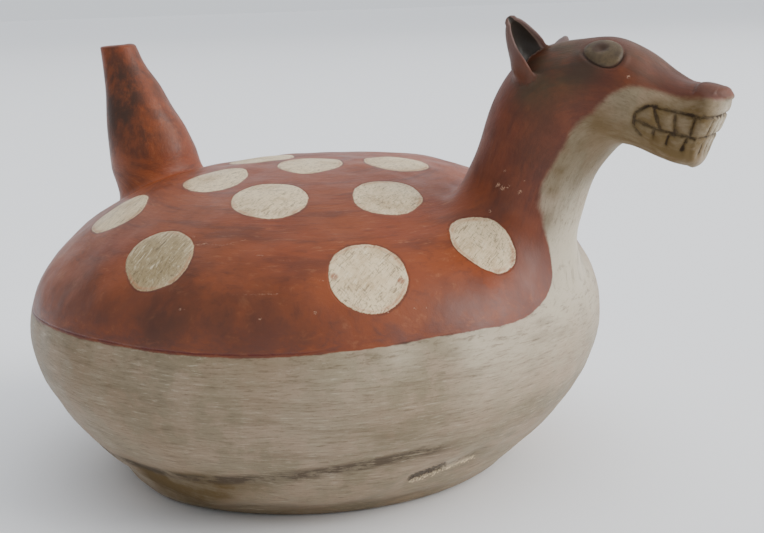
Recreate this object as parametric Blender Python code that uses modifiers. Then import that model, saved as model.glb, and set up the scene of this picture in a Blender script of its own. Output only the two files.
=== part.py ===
"""Deer effigy pot of fired clay.

A low round belly stands on a flat foot. A spout rises at the tail end, and a neck with a deer's
head rises at the other. The belly, the spout and the neck are hollow and open into each other.
Metres, +Z up, +X towards the nose, origin in the middle of the foot.
"""

import math

import bmesh
import bpy
import numpy as np

# Belly: an upper and a lower half that meet at the widest level
BELLY_RADIUS = 0.110
WIDEST_HEIGHT = 0.0553
TOP_HEIGHT = 0.1153
UNDERSIDE_DEPTH = 0.0839
UPPER_FULLNESS = 2.18
LOWER_FULLNESS = 1.67
FOOT_RADIUS = 0.0755
FOOT_HEIGHT = 0.006
FOOT_EDGE_ROUND = 0.0018
FOOT_SIDES = 56
BLOCK_BREADTH = 3.0 * BELLY_RADIUS

# Clay pushed out at the foot below the right flank
FOOT_LIP_AZIMUTH = math.radians(-99.0)
FOOT_LIP_REACH = 0.0038
FOOT_LIP_SIZE = (0.017, 0.026, 0.007)

# Clay thickness
WALL = 0.006
LIP_WALL = 0.0025
FLOOR_THICKNESS = 0.008

# Where neck and spout leave the belly: lean of each root from the upright, and half the angle
# that the flared root takes up on the belly
NECK_ROOT_LEAN = math.radians(52.0)
NECK_ROOT_SPREAD = math.radians(22.5)
SPOUT_ROOT_LEAN = math.radians(42.0)
SPOUT_ROOT_SPREAD = math.radians(12.0)

# Spout
SPOUT_LENGTH = 0.061
SPOUT_TILT = math.radians(18.4)
SPOUT_RIM_RADIUS = 0.007
SPOUT_ROOT_RADIUS = 0.019
SPOUT_SWELL = 0.21
SPOUT_FREE_SHARE = 0.80
RIM_CUT_SHARE = 0.45
RIM_ROUND_SHARE = 0.025
RIM_ROUND_INSET = 0.75

# Neck and head: sections from the bottom of the neck to the nose, as shares of the head's
# length, measured from the middle of the neck's root. A section runs from a point on the nape
# and forehead to a point on the throat and jaw.
HEAD_LENGTH = 0.080
# nape x, nape z, throat x, throat z, half width, squareness, widening towards the top
NECK_AND_HEAD = (
    (-0.228, 0.304, 0.231, 0.029, 0.262, 2.0, 0.00),
    (-0.176, 0.410, 0.261, 0.129, 0.257, 2.0, 0.00),
    (-0.130, 0.554, 0.312, 0.251, 0.247, 2.0, 0.00),
    (-0.050, 0.683, 0.375, 0.335, 0.235, 2.0, 0.00),
    (0.056, 0.770, 0.431, 0.381, 0.222, 2.1, 0.02),
    (0.200, 0.810, 0.481, 0.383, 0.215, 2.1, 0.02),
    (0.344, 0.825, 0.529, 0.367, 0.207, 2.1, 0.00),
    (0.463, 0.806, 0.579, 0.347, 0.197, 2.2, -0.02),
    (0.566, 0.749, 0.629, 0.331, 0.182, 2.4, -0.06),
    (0.656, 0.690, 0.669, 0.320, 0.170, 2.6, -0.08),
    (0.725, 0.646, 0.699, 0.314, 0.160, 2.7, -0.08),
    (0.788, 0.637, 0.724, 0.310, 0.155, 2.7, -0.06),
    (0.836, 0.634, 0.741, 0.312, 0.151, 2.7, -0.04),
)
MUZZLE_END = len(NECK_AND_HEAD) - 1
MUZZLE_FRONT_ROUND = 0.045
MUZZLE_EDGE_POWER = 0.7
MUZZLE_ROUND_TURNS = np.radians((30.0, 52.0, 70.0, 83.0))

# The hollow ends in the neck in a dome, and its cutter starts above the spout's rim
NECK_HOLLOW_END = 2.6
NECK_HOLLOW_DOME = 0.010
DOME_TURNS = np.radians((35.0, 65.0))
ABOVE_RIM_SHARE = -0.08

# Nose pad, as shares of the head's length from the neck's root
NOSE_PLACE = (0.806, 0.0, 0.598)
NOSE_SIZE = (0.080, 0.106, 0.040)

# Ears: cupped leaves that face forwards, from inside the head to the tip. Lengths are shares of
# the head's length from the neck's root; turns are degrees outwards from straight ahead. The left
# ear hangs lower and further out.
# forward, outward, up, half width, depth, turn
RIGHT_EAR = (
    (0.156, 0.070, 0.600, 0.075, 0.100, -12.0),
    (0.120, 0.140, 0.738, 0.091, 0.105, -4.0),
    (0.084, 0.158, 0.810, 0.074, 0.085, 8.0),
    (0.050, 0.182, 0.870, 0.044, 0.049, 18.0),
    (0.033, 0.201, 0.904, 0.020, 0.022, 25.0),
)
LEFT_EAR = (
    (0.138, 0.070, 0.585, 0.075, 0.100, -5.0),
    (0.125, 0.160, 0.678, 0.088, 0.098, 10.0),
    (0.108, 0.218, 0.722, 0.070, 0.075, 22.0),
    (0.088, 0.275, 0.765, 0.041, 0.045, 32.0),
    (0.073, 0.316, 0.790, 0.020, 0.022, 38.0),
)
EAR_ROOT_THICKNESS = 0.0030
EAR_TIP_THICKNESS = 0.0015
EAR_WRAP = math.radians(90.0)
EAR_EDGE_SQUARENESS = 3.0

# Eyes: a ring groove round a low disc with a dimple; place along the head and height share
EYE_PLACE = 6.45
EYE_HALF_PLACES = 0.86
EYE_ANGLE = math.radians(42.0)
EYE_HALF_ANGLE = math.radians(21.5)
EYE_GROOVE_RADIUS = 0.0008
EYE_DIMPLE_RADIUS = 0.0030
EYE_DIMPLE_DEPTH = 0.0008
EYE_POINTS = 20

# Bared teeth: grooves on both sides of the muzzle and across its front.
# Heights are shares of half the section, from -1 at the jaw to 1 at the bridge of the nose.
MOUTH_CORNER = 7.1
UPPER_LIP_HEIGHT = 0.30
UPPER_LIP_RISE = 2.6
UPPER_LIP_CURVE = 0.65
BITE_HEIGHT = -0.26
LOWER_TOOTH_HEIGHT = -0.72
GROOVE_RADIUS = 0.0010
UPPER_GAPS_ON_SIDE = (8.45, 9.75, 11.25)
LOWER_GAPS_ON_SIDE = (8.1, 9.3, 10.75)
UPPER_GAPS_IN_FRONT = (-0.78, -0.28, 0.28, 0.78)
LOWER_GAPS_IN_FRONT = (-0.66, 0.0, 0.66)
SIDE_GROOVE_END = 11.5
FRONT_GROOVE_TURN = math.radians(75.0)

# Plain colour of the red slip
CLAY_COLOUR = (0.26, 0.10, 0.055)
CLAY_ROUGHNESS = 0.45

# Fineness of the solid
SKIN_COLUMNS = 36
SKIN_SPOUT_RINGS = 7
SKIN_SPOUT_FLARE_RINGS = 3
SKIN_BELLY_RINGS = 22
SKIN_NECK_FLARE_RINGS = 5
SKIN_HEAD_RINGS = 25
HOLLOW_COLUMNS = 20
HOLLOW_SPOUT_RINGS = 5
HOLLOW_SPOUT_FLARE_RINGS = 2
HOLLOW_BELLY_RINGS = 17
HOLLOW_NECK_FLARE_RINGS = 3
HOLLOW_NECK_RINGS = 5
GROOVE_SIDE_POINTS = 9
GROOVE_FRONT_POINTS = 7
GAP_POINTS = 3
EAR_COLUMNS = 16
EAR_RINGS = 8
BALL_SEGMENTS = 16
BALL_RINGS = 8

POT_NAME = "effigy_vessel"
SIDEWAYS = np.array([0.0, 1.0, 0.0])
SMALL_STEP = 0.001


def smooth_through(rows, places):
    """Natural cubic curve through evenly numbered rows, read at the places."""
    rows = np.asarray(rows, float)
    count = len(rows)
    bend = np.zeros_like(rows)
    system = np.eye(count)
    inner = np.arange(1, count - 1)
    system[inner, inner - 1] = 1.0
    system[inner, inner] = 4.0
    system[inner, inner + 1] = 1.0
    bend[1:-1] = 6.0 * (rows[2:] - 2.0 * rows[1:-1] + rows[:-2])
    bend = np.linalg.solve(system, bend)
    below = np.clip(np.floor(places).astype(int), 0, count - 2)
    t = (places - below)[:, None]
    start, end = rows[below], rows[below + 1]
    start_bend, end_bend = bend[below], bend[below + 1]
    line = start * (1.0 - t) + end * t
    return line - t * (1.0 - t) * ((2.0 - t) * start_bend + (1.0 + t) * end_bend) / 6.0


def lean_direction(lean):
    """Unit direction in the upright middle plane, leaning from +Z towards +X."""
    return np.array([math.sin(lean), 0.0, math.cos(lean)])


def belly_point(direction, wall=0.0):
    """Point of the belly that a direction meets: two superellipse halves turned about Z."""
    across = np.hypot(direction[..., 0], direction[..., 1])
    up = np.abs(direction[..., 2])
    above = direction[..., 2] >= 0.0
    fullness = np.where(above, UPPER_FULLNESS, LOWER_FULLNESS)
    rise = np.where(above, TOP_HEIGHT - WIDEST_HEIGHT - wall, wall - UNDERSIDE_DEPTH)
    reach = (across ** fullness + up ** fullness) ** (-1.0 / fullness)
    flat = direction[..., :2] * reach[..., None] * (BELLY_RADIUS - wall)
    height = WIDEST_HEIGHT + rise * reach * up
    return np.concatenate([flat, height[..., None]], axis=-1)


def swinging_circle(swing, angles):
    """Circle cut from the unit ball by a plane that swings about a line above the back.

    Swing 0 touches the ball at the neck's root and swing 1 at the spout's root. Angle 0 lies on
    the back between them.
    """
    middle = (NECK_ROOT_LEAN - SPOUT_ROOT_LEAN) / 2.0
    apart = (NECK_ROOT_LEAN + SPOUT_ROOT_LEAN) / 2.0
    hinge = lean_direction(middle) / math.cos(apart)
    turn = (1.0 - 2.0 * swing) * (math.pi / 2.0 - apart)
    along = lean_direction(middle + math.pi - turn)
    centre = hinge - along * hinge.dot(along)
    radius = math.sqrt(1.0 - centre.dot(centre))
    return centre + radius * (np.sin(angles)[:, None] * SIDEWAYS - np.cos(angles)[:, None] * along)


def swing_at(spread):
    """Swing at which the circle round the neck's root has this angular radius."""
    apart = (NECK_ROOT_LEAN + SPOUT_ROOT_LEAN) / 2.0
    turn = math.asin(math.cos(spread) * math.cos(apart))
    return (1.0 - turn / (math.pi / 2.0 - apart)) / 2.0


def belly_ring(swing, angles, wall):
    return belly_point(swinging_circle(swing, angles), wall)


def spout_ring(share, angles, wall):
    """Round section of the spout, from share 0 at the level rim to 1 at the root."""
    axis = lean_direction(-SPOUT_TILT)
    forward = np.array([math.cos(SPOUT_TILT), 0.0, math.sin(SPOUT_TILT)])
    swell = share + SPOUT_SWELL * share * math.sin(math.pi * share)
    radius = SPOUT_RIM_RADIUS + (SPOUT_ROOT_RADIUS - SPOUT_RIM_RADIUS) * swell
    if wall > 0.0:
        radius -= LIP_WALL + (wall - LIP_WALL) * share
    centre = belly_point(lean_direction(-SPOUT_ROOT_LEAN)) + axis * SPOUT_LENGTH * (1.0 - share)
    levelled = math.tan(SPOUT_TILT) * min(1.0, max(0.0, 1.0 - share / RIM_CUT_SHARE))
    out = forward - axis * levelled
    return centre + radius * (np.cos(angles)[:, None] * out + np.sin(angles)[:, None] * SIDEWAYS)


def head_section(place):
    """Middle, half height vector, half width, squareness and widening of a section."""
    row = smooth_through(NECK_AND_HEAD, np.array([float(place)]))[0]
    upper = np.array([row[0], 0.0, row[1]]) * HEAD_LENGTH
    lower = np.array([row[2], 0.0, row[3]]) * HEAD_LENGTH
    middle = belly_point(lean_direction(NECK_ROOT_LEAN)) + (upper + lower) / 2.0
    return middle, (upper - lower) / 2.0, row[4] * HEAD_LENGTH, row[5], row[6]


def head_ring(place, angles, wall):
    """Section of the neck or head; angle 0 is on the nape and forehead."""
    middle, half, width, squareness, widening = head_section(place)
    if wall > 0.0:
        half = half * (1.0 - wall / np.linalg.norm(half))
        width -= wall
    c, s = np.cos(angles), np.sin(angles)
    reach = (np.abs(c) ** squareness + np.abs(s) ** squareness) ** (-1.0 / squareness)
    sideways = (reach * s * width * (1.0 + widening * c))[:, None] * SIDEWAYS
    return middle + (reach * c)[:, None] * half + sideways


def side_point(place, height, hand):
    """Point on one side of the head at a height share of the section; hand is -1 or 1."""
    middle, half, width, squareness, widening = head_section(place)
    out = (1.0 - abs(height) ** squareness) ** (1.0 / squareness)
    return middle + height * half + hand * out * width * (1.0 + widening * height) * SIDEWAYS


def front_direction():
    last = head_section(MUZZLE_END)[0]
    before = head_section(MUZZLE_END - SMALL_STEP)[0]
    return (last - before) / np.linalg.norm(last - before)


def front_point(height, side):
    """Point on the front of the muzzle at shares of its half height and half width."""
    middle, half, width, squareness, _ = head_section(MUZZLE_END)
    edge = (abs(height) ** squareness + abs(side) ** squareness) ** (1.0 / squareness)
    bulge = math.sqrt(max(0.0, 1.0 - min(edge, 1.0) ** (2.0 / MUZZLE_EDGE_POWER)))
    forward = front_direction() * MUZZLE_FRONT_ROUND * HEAD_LENGTH * bulge
    return middle + height * half + side * width * SIDEWAYS + forward


def flare(first, first_way, last, last_way, steps):
    """Rings of a flared root: a cubic for each column, leaving and arriving along the ways."""
    span = np.linalg.norm(last - first, axis=1)[:, None]
    leave = first_way / np.linalg.norm(first_way, axis=1)[:, None] * span
    arrive = last_way / np.linalg.norm(last_way, axis=1)[:, None] * span
    rings = []
    for v in np.linspace(0.0, 1.0, steps + 2)[1:-1]:
        rings.append(
            (2.0 * v**3 - 3.0 * v**2 + 1.0) * first
            + (v**3 - 2.0 * v**2 + v) * leave
            + (3.0 * v**2 - 2.0 * v**3) * last
            + (v**3 - v**2) * arrive
        )
    return rings


def pot_rings(angles, wall, spout_shares, belly_rings, head_places, flare_rings):
    """Rings from the spout's rim over the belly and up the neck, on the skin or inside the wall."""
    spout_swing = 1.0 - swing_at(SPOUT_ROOT_SPREAD)
    neck_swing = swing_at(NECK_ROOT_SPREAD)
    swings = np.linspace(spout_swing, neck_swing, belly_rings)
    spout = [spout_ring(share, angles, wall) for share in spout_shares]
    belly = [belly_ring(swing, angles, wall) for swing in swings]
    head = [head_ring(place, angles, wall) for place in head_places]
    spout_way = spout_ring(spout_shares[-1] + SMALL_STEP, angles, wall) - spout[-1]
    off_spout = belly_ring(spout_swing - SMALL_STEP, angles, wall) - belly[0]
    onto_neck = belly[-1] - belly_ring(neck_swing + SMALL_STEP, angles, wall)
    neck_way = head_ring(head_places[0] + SMALL_STEP, angles, wall) - head[0]
    spout_flare = flare(spout[-1], spout_way, belly[0], off_spout, flare_rings[0])
    neck_flare = flare(belly[-1], onto_neck, head[0], neck_way, flare_rings[1])
    return spout + spout_flare + belly + neck_flare + head


def loft(name, rings, material, collection):
    """Closed solid through rings of equal count.

    Each end is closed by a strip of faces that join the points on one side of the ring to those
    on the other, which also fits a bent section.
    """
    count = len(rings[0])
    points = np.concatenate(rings)
    faces = []
    for level in range(len(rings) - 1):
        for column in range(count):
            after = (column + 1) % count
            low, high = level * count, (level + 1) * count
            faces.append((low + column, high + column, high + after, low + after))
    for end in (0, len(points) - count):
        for column in range(count // 2):
            opposite = (count - column) % count
            corners = dict.fromkeys((column, column + 1, count - column - 1, opposite))
            faces.append(tuple(end + corner for corner in corners))
    mesh = bpy.data.meshes.new(name)
    mesh.from_pydata(points.tolist(), [], faces)
    shape = bmesh.new()
    shape.from_mesh(mesh)
    bmesh.ops.recalc_face_normals(shape, faces=shape.faces)
    shape.to_mesh(mesh)
    shape.free()
    return place_object(name, mesh, material, collection)


def place_object(name, mesh, material, collection):
    """Object for a mesh; all but the pot itself are hidden shapes that add to it or cut it."""
    mesh.shade_smooth()
    mesh.materials.append(material)
    item = bpy.data.objects.new(name, mesh)
    collection.objects.link(item)
    if name != POT_NAME:
        item.hide_render = True
        item.display_type = "WIRE"
    return item


def ball(name, centre, size, facing, material, collection):
    """Ellipsoid whose half sizes lie along the three directions in facing."""
    shape = bmesh.new()
    bmesh.ops.create_uvsphere(shape, u_segments=BALL_SEGMENTS, v_segments=BALL_RINGS, radius=1.0)
    points = np.array([vertex.co for vertex in shape.verts]) * np.asarray(size)
    points = points @ np.asarray(facing) + np.asarray(centre)
    for vertex, point in zip(shape.verts, points):
        vertex.co = point
    bmesh.ops.recalc_face_normals(shape, faces=shape.faces)
    mesh = bpy.data.meshes.new(name)
    shape.to_mesh(mesh)
    shape.free()
    return place_object(name, mesh, material, collection)


def tube(name, points, radius, closed, material, collection):
    """Groove cutter of square section along points, with its caps welded."""
    curve = bpy.data.curves.new(name, "CURVE")
    curve.dimensions = "3D"
    curve.bevel_depth = radius
    curve.bevel_resolution = 0
    curve.use_fill_caps = True
    spline = curve.splines.new("POLY")
    spline.points.add(len(points) - 1)
    for target, point in zip(spline.points, points):
        target.co = (*point, 1.0)
    spline.use_cyclic_u = closed
    drawn = bpy.data.objects.new(name + "_line", curve)
    collection.objects.link(drawn)
    bpy.context.view_layer.update()
    evaluated = drawn.evaluated_get(bpy.context.evaluated_depsgraph_get())
    mesh = bpy.data.meshes.new_from_object(evaluated)
    shape = bmesh.new()
    shape.from_mesh(mesh)
    bmesh.ops.remove_doubles(shape, verts=shape.verts, dist=1e-6)
    bmesh.ops.recalc_face_normals(shape, faces=shape.faces)
    shape.to_mesh(mesh)
    shape.free()
    bpy.data.objects.remove(drawn)
    return place_object(name, mesh, material, collection)


def combine(target, cutters, operation):
    """Exact Boolean of the target with one closed solid, or with all the solids of a collection."""
    step = target.modifiers.new(cutters.name, "BOOLEAN")
    step.operation = operation
    step.solver = "EXACT"
    if isinstance(cutters, bpy.types.Collection):
        step.operand_type = "COLLECTION"
        step.collection = cutters
    else:
        step.object = cutters


def clay_material(name, colour, roughness):
    material = bpy.data.materials.new(name)
    material.use_nodes = True
    shader = material.node_tree.nodes["Principled BSDF"]
    shader.inputs["Base Color"].default_value = (*colour, 1.0)
    shader.inputs["Roughness"].default_value = roughness
    shader.inputs["Metallic"].default_value = 0.0
    material.diffuse_color = (*colour, 1.0)
    return material


def ring_angles(count):
    return np.arange(count) * 2.0 * math.pi / count


def skin_rings():
    """The pot's outer skin from the rounded rim of the spout to the front of the muzzle."""
    angles = ring_angles(SKIN_COLUMNS)
    shares = np.linspace(RIM_ROUND_SHARE, SPOUT_FREE_SHARE, SKIN_SPOUT_RINGS)
    places = np.linspace(0.0, MUZZLE_END, SKIN_HEAD_RINGS)
    flares = (SKIN_SPOUT_FLARE_RINGS, SKIN_NECK_FLARE_RINGS)
    rings = pot_rings(angles, 0.0, shares, SKIN_BELLY_RINGS, places, flares)
    rim = spout_ring(0.0, angles, 0.0)
    rim = rim.mean(axis=0) + (rim - rim.mean(axis=0)) * RIM_ROUND_INSET
    middle = head_section(MUZZLE_END)[0]
    forward = front_direction() * MUZZLE_FRONT_ROUND * HEAD_LENGTH
    front = []
    for turn in MUZZLE_ROUND_TURNS:
        narrowed = (rings[-1] - middle) * math.cos(turn) ** MUZZLE_EDGE_POWER
        front.append(middle + narrowed + forward * math.sin(turn))
    return [rim] + rings + front


def hollow_rings():
    """The hollow from above the rim, through bore and belly, to its domed end in the neck."""
    angles = ring_angles(HOLLOW_COLUMNS)
    shares = np.linspace(ABOVE_RIM_SHARE, SPOUT_FREE_SHARE, HOLLOW_SPOUT_RINGS)
    places = np.linspace(0.0, NECK_HOLLOW_END, HOLLOW_NECK_RINGS)
    flares = (HOLLOW_SPOUT_FLARE_RINGS, HOLLOW_NECK_FLARE_RINGS)
    rings = pot_rings(angles, WALL, shares, HOLLOW_BELLY_RINGS, places, flares)
    last = rings[-1]
    middle = last.mean(axis=0)
    up = middle - rings[-2].mean(axis=0)
    up = up / np.linalg.norm(up) * NECK_HOLLOW_DOME
    for turn in DOME_TURNS:
        rings.append(middle + (last - middle) * math.cos(turn) + up * math.sin(turn))
    return rings


def block(name, top, material, collection):
    """Broad block whose upper face lies at a height, for cutting the foot and the floor flat."""
    depth = UNDERSIDE_DEPTH
    shape = bmesh.new()
    bmesh.ops.create_cube(shape, size=1.0)
    for vertex in shape.verts:
        vertex.co.x *= BLOCK_BREADTH
        vertex.co.y *= BLOCK_BREADTH
        vertex.co.z = top + (vertex.co.z - 0.5) * depth
    mesh = bpy.data.meshes.new(name)
    shape.to_mesh(mesh)
    shape.free()
    return place_object(name, mesh, material, collection)


def foot_pad(material, collection):
    """Turned pad under the belly: a profile carried round Z. Below the ground it is cut away."""
    corner = []
    for turn in np.radians(np.linspace(0.0, 90.0, 4)):
        out = FOOT_RADIUS - FOOT_EDGE_ROUND * (1.0 - math.cos(turn))
        corner.append((out, 0.0, FOOT_EDGE_ROUND * (1.0 - math.sin(turn))))
    sole = FOOT_RADIUS - FOOT_EDGE_ROUND
    profile = [(0.0, 0.0, FOOT_HEIGHT), (FOOT_RADIUS, 0.0, FOOT_HEIGHT)] + corner
    profile += [(sole, 0.0, -FOOT_HEIGHT), (0.0, 0.0, -FOOT_HEIGHT)]
    mesh = bpy.data.meshes.new("foot_pad")
    mesh.from_pydata(profile, [(i, i + 1) for i in range(len(profile) - 1)], [])
    item = place_object("foot_pad", mesh, material, collection)
    turned = item.modifiers.new("Turned", "SCREW")
    turned.steps = FOOT_SIDES
    turned.render_steps = FOOT_SIDES
    turned.use_merge_vertices = True
    turned.merge_threshold = 0.00001
    turned.use_normal_calculate = True
    return item


def on_head(share, hand):
    """Point at shares of the head's length from the neck's root, on one side."""
    root = belly_point(lean_direction(NECK_ROOT_LEAN))
    return root + np.array([share[0], hand * share[1], share[2]]) * HEAD_LENGTH


def ear_rings(rows, hand):
    """Sections of an ear, each a flattened oval bent round half an ellipse that opens forwards."""
    places = np.linspace(0.0, len(rows) - 1.0, EAR_RINGS)
    stations = smooth_through(rows, places)
    ahead = smooth_through(rows, np.minimum(places + SMALL_STEP, len(rows) - 1.0))
    behind = smooth_through(rows, np.maximum(places - SMALL_STEP, 0.0))
    turns = ring_angles(EAR_COLUMNS)
    power = 2.0 / EAR_EDGE_SQUARENESS
    bend = EAR_WRAP * np.sign(np.cos(turns)) * np.abs(np.cos(turns)) ** power
    skin = 0.5 * np.sign(np.sin(turns)) * np.abs(np.sin(turns)) ** power
    rings = []
    for share, row, after, before in zip(np.linspace(0.0, 1.0, EAR_RINGS), stations, ahead, behind):
        thickness = EAR_ROOT_THICKNESS + (EAR_TIP_THICKNESS - EAR_ROOT_THICKNESS) * share
        rise = on_head(after[:3], hand) - on_head(before[:3], hand)
        rise = rise / np.linalg.norm(rise)
        turn = math.radians(row[5])
        facing = np.array([math.cos(turn), hand * math.sin(turn), 0.0])
        facing = facing - rise * facing.dot(rise)
        facing = facing / np.linalg.norm(facing)
        across = np.cross(rise, facing)
        half_width, depth = row[3] * HEAD_LENGTH, row[4] * HEAD_LENGTH
        spine = np.stack([half_width * np.sin(bend), -depth * np.cos(bend)], axis=1)
        normal = np.stack([depth * np.sin(bend), -half_width * np.cos(bend)], axis=1)
        normal = normal / np.linalg.norm(normal, axis=1)[:, None]
        flat = spine + normal * (thickness * skin)[:, None]
        rings.append(on_head(row[:3], hand) + flat[:, :1] * across + flat[:, 1:] * facing)
    return rings


def eye_outline(hand, count):
    """Points of the ring groove round one eye, on the skin of the head."""
    points = []
    for turn in ring_angles(count):
        place = EYE_PLACE + EYE_HALF_PLACES * math.cos(turn)
        angle = hand * (EYE_ANGLE + EYE_HALF_ANGLE * math.sin(turn))
        points.append(head_ring(place, np.array([angle]), 0.0)[0])
    return points


def eye_dimple(hand, material, collection):
    """Shallow round dimple in the middle of an eye."""
    centre = head_ring(EYE_PLACE, np.array([hand * EYE_ANGLE]), 0.0)[0]
    middle = head_section(EYE_PLACE)[0]
    out = (centre - middle) / np.linalg.norm(centre - middle)
    centre = centre + out * (EYE_DIMPLE_RADIUS - EYE_DIMPLE_DEPTH)
    size = (EYE_DIMPLE_RADIUS,) * 3
    return ball("eye_dimple_%s" % hand_name(hand), centre, size, np.eye(3), material, collection)


def hand_name(hand):
    return "left" if hand > 0 else "right"


def bite_height(place):
    return BITE_HEIGHT


def upper_lip_height(place):
    """Height of the upper lip line, which climbs from the corner of the mouth."""
    climb = min(1.0, max(0.0, (place - MOUTH_CORNER) / UPPER_LIP_RISE))
    rise = math.sin(climb * math.pi / 2.0) ** UPPER_LIP_CURVE
    return BITE_HEIGHT + (UPPER_LIP_HEIGHT - BITE_HEIGHT) * rise


def long_groove(height_at):
    """Groove from one corner of the mouth round the front of the muzzle to the other corner."""
    places = np.linspace(MOUTH_CORNER, SIDE_GROOVE_END, GROOVE_SIDE_POINTS)
    sides = np.sin(np.linspace(-FRONT_GROOVE_TURN, FRONT_GROOVE_TURN, GROOVE_FRONT_POINTS))
    right = [side_point(place, height_at(place), -1.0) for place in places]
    front = [front_point(height_at(MUZZLE_END), side) for side in sides]
    left = [side_point(place, height_at(place), 1.0) for place in places[::-1]]
    return right + front + left


def tooth_gaps():
    """Points of each short upright groove between two teeth."""
    upper = [(place, upper_lip_height(place), BITE_HEIGHT) for place in UPPER_GAPS_ON_SIDE]
    lower = [(place, BITE_HEIGHT, LOWER_TOOTH_HEIGHT) for place in LOWER_GAPS_ON_SIDE]
    gaps = []
    for place, high, low in upper + lower:
        for hand in (-1.0, 1.0):
            heights = np.linspace(high, low, GAP_POINTS)
            gaps.append([side_point(place, height, hand) for height in heights])
    upper = [(side, UPPER_LIP_HEIGHT, BITE_HEIGHT) for side in UPPER_GAPS_IN_FRONT]
    lower = [(side, BITE_HEIGHT, LOWER_TOOTH_HEIGHT) for side in LOWER_GAPS_IN_FRONT]
    for side, high, low in upper + lower:
        gaps.append([front_point(height, side) for height in np.linspace(high, low, GAP_POINTS)])
    return gaps


def new_collection(name, parent):
    collection = bpy.data.collections.new(name)
    parent.children.link(collection)
    return collection


def add_clay(material, collection):
    """What is put on the pot: the foot, the pushed out lip, the nose pad and the ears."""
    foot_pad(material, collection)
    out = np.array([math.cos(FOOT_LIP_AZIMUTH), math.sin(FOOT_LIP_AZIMUTH), 0.0])
    round_about = np.array([-out[1], out[0], 0.0])
    centre = out * (FOOT_RADIUS + FOOT_LIP_REACH - FOOT_LIP_SIZE[0])
    facing = (out, round_about, (0.0, 0.0, 1.0))
    ball("foot_lip", centre, FOOT_LIP_SIZE, facing, material, collection)
    nose = np.asarray(NOSE_SIZE) * HEAD_LENGTH
    ball("nose", on_head(NOSE_PLACE, 1.0), nose, np.eye(3), material, collection)
    loft("ear_right", ear_rings(RIGHT_EAR, -1.0), material, collection)
    loft("ear_left", ear_rings(LEFT_EAR, 1.0), material, collection)


def cut_clay(material, collection):
    """What is taken from the pot: below the ground, the eyes' rings and dimples, the mouth."""
    block("ground", 0.0, material, collection)
    for hand in (-1.0, 1.0):
        ring = eye_outline(hand, EYE_POINTS)
        tube("eye_ring_" + hand_name(hand), ring, EYE_GROOVE_RADIUS, True, material, collection)
        eye_dimple(hand, material, collection)
    for name, height_at in (("upper_lip_line", upper_lip_height), ("bite_line", bite_height)):
        tube(name, long_groove(height_at), GROOVE_RADIUS, False, material, collection)
    for number, points in enumerate(tooth_gaps()):
        tube("tooth_gap_%02d" % number, points, GROOVE_RADIUS, False, material, collection)


def build():
    for item in list(bpy.data.objects):
        bpy.data.objects.remove(item)
    scene = bpy.context.scene.collection
    pot_parts = new_collection("Deer effigy pot", scene)
    cutters = new_collection("Cutters", scene)
    added = new_collection("Added clay", cutters)
    removed = new_collection("Removed clay", cutters)
    clay = clay_material("Red and cream slipped clay", CLAY_COLOUR, CLAY_ROUGHNESS)

    add_clay(clay, added)
    cut_clay(clay, removed)
    hollow = loft("hollow", hollow_rings(), clay, removed)
    combine(hollow, block("under_floor", FLOOR_THICKNESS, clay, cutters), "DIFFERENCE")

    pot = loft(POT_NAME, skin_rings(), clay, pot_parts)
    combine(pot, added, "UNION")
    combine(pot, removed, "DIFFERENCE")


build()
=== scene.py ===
"""Deer effigy pot: the finished surface of the slipped and burnished clay, on a plain stage.

Metres, +Z up, +X towards the nose, origin in the middle of the foot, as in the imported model.
The pot's skin is one grid of rows and columns. The rows run from the spout's rim over the belly
and up the neck to the front of the muzzle, and the columns run round: angle 0 lies on the back,
the nape and the forehead, and 180 degrees underneath and on the throat and jaw.
"""

import math

import bpy
import numpy as np
from bpy.props import FloatProperty, FloatVectorProperty, PointerProperty
from mathutils import Matrix, Vector


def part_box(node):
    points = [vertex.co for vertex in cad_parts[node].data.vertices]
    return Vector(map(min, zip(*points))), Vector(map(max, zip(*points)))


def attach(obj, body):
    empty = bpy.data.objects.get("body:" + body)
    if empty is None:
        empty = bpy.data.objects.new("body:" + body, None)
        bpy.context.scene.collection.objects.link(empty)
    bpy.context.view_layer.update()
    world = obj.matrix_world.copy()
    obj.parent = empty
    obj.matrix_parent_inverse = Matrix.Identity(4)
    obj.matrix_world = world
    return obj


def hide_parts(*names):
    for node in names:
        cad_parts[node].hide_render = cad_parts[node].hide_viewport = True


bl_info = {
    "name": "Deer effigy pot",
    "version": (1, 0, 0),
    "blender": (4, 5, 0),
    "location": "3D View > Sidebar > Deer pot",
    "description": "Models and finishes a spouted pot of slipped clay with a deer's head",
    "category": "Add Mesh",
}

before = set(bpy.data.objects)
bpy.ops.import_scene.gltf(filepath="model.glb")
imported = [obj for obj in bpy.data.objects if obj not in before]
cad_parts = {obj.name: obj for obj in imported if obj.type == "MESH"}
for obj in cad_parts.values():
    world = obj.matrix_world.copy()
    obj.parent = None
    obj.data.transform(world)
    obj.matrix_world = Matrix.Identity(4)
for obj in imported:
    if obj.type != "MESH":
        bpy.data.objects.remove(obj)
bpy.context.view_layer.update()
NODE = "effigy_vessel"
BODY = "root"
PIECE = "deer_pot"
LOW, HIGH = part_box(NODE)

SIDEWAYS = np.array([0.0, 1.0, 0.0])
SMALL_STEP = 0.001
TINY = 1e-9

# Where neck and spout leave the belly: lean from the upright, and half the angle that the flared
# root takes up
NECK_ROOT_LEAN = math.radians(52.0)
NECK_ROOT_SPREAD = math.radians(22.5)
SPOUT_ROOT_LEAN = math.radians(42.0)
SPOUT_ROOT_SPREAD = math.radians(12.0)
ROOTS_MIDDLE = (NECK_ROOT_LEAN - SPOUT_ROOT_LEAN) / 2.0
ROOTS_APART = (NECK_ROOT_LEAN + SPOUT_ROOT_LEAN) / 2.0
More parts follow.
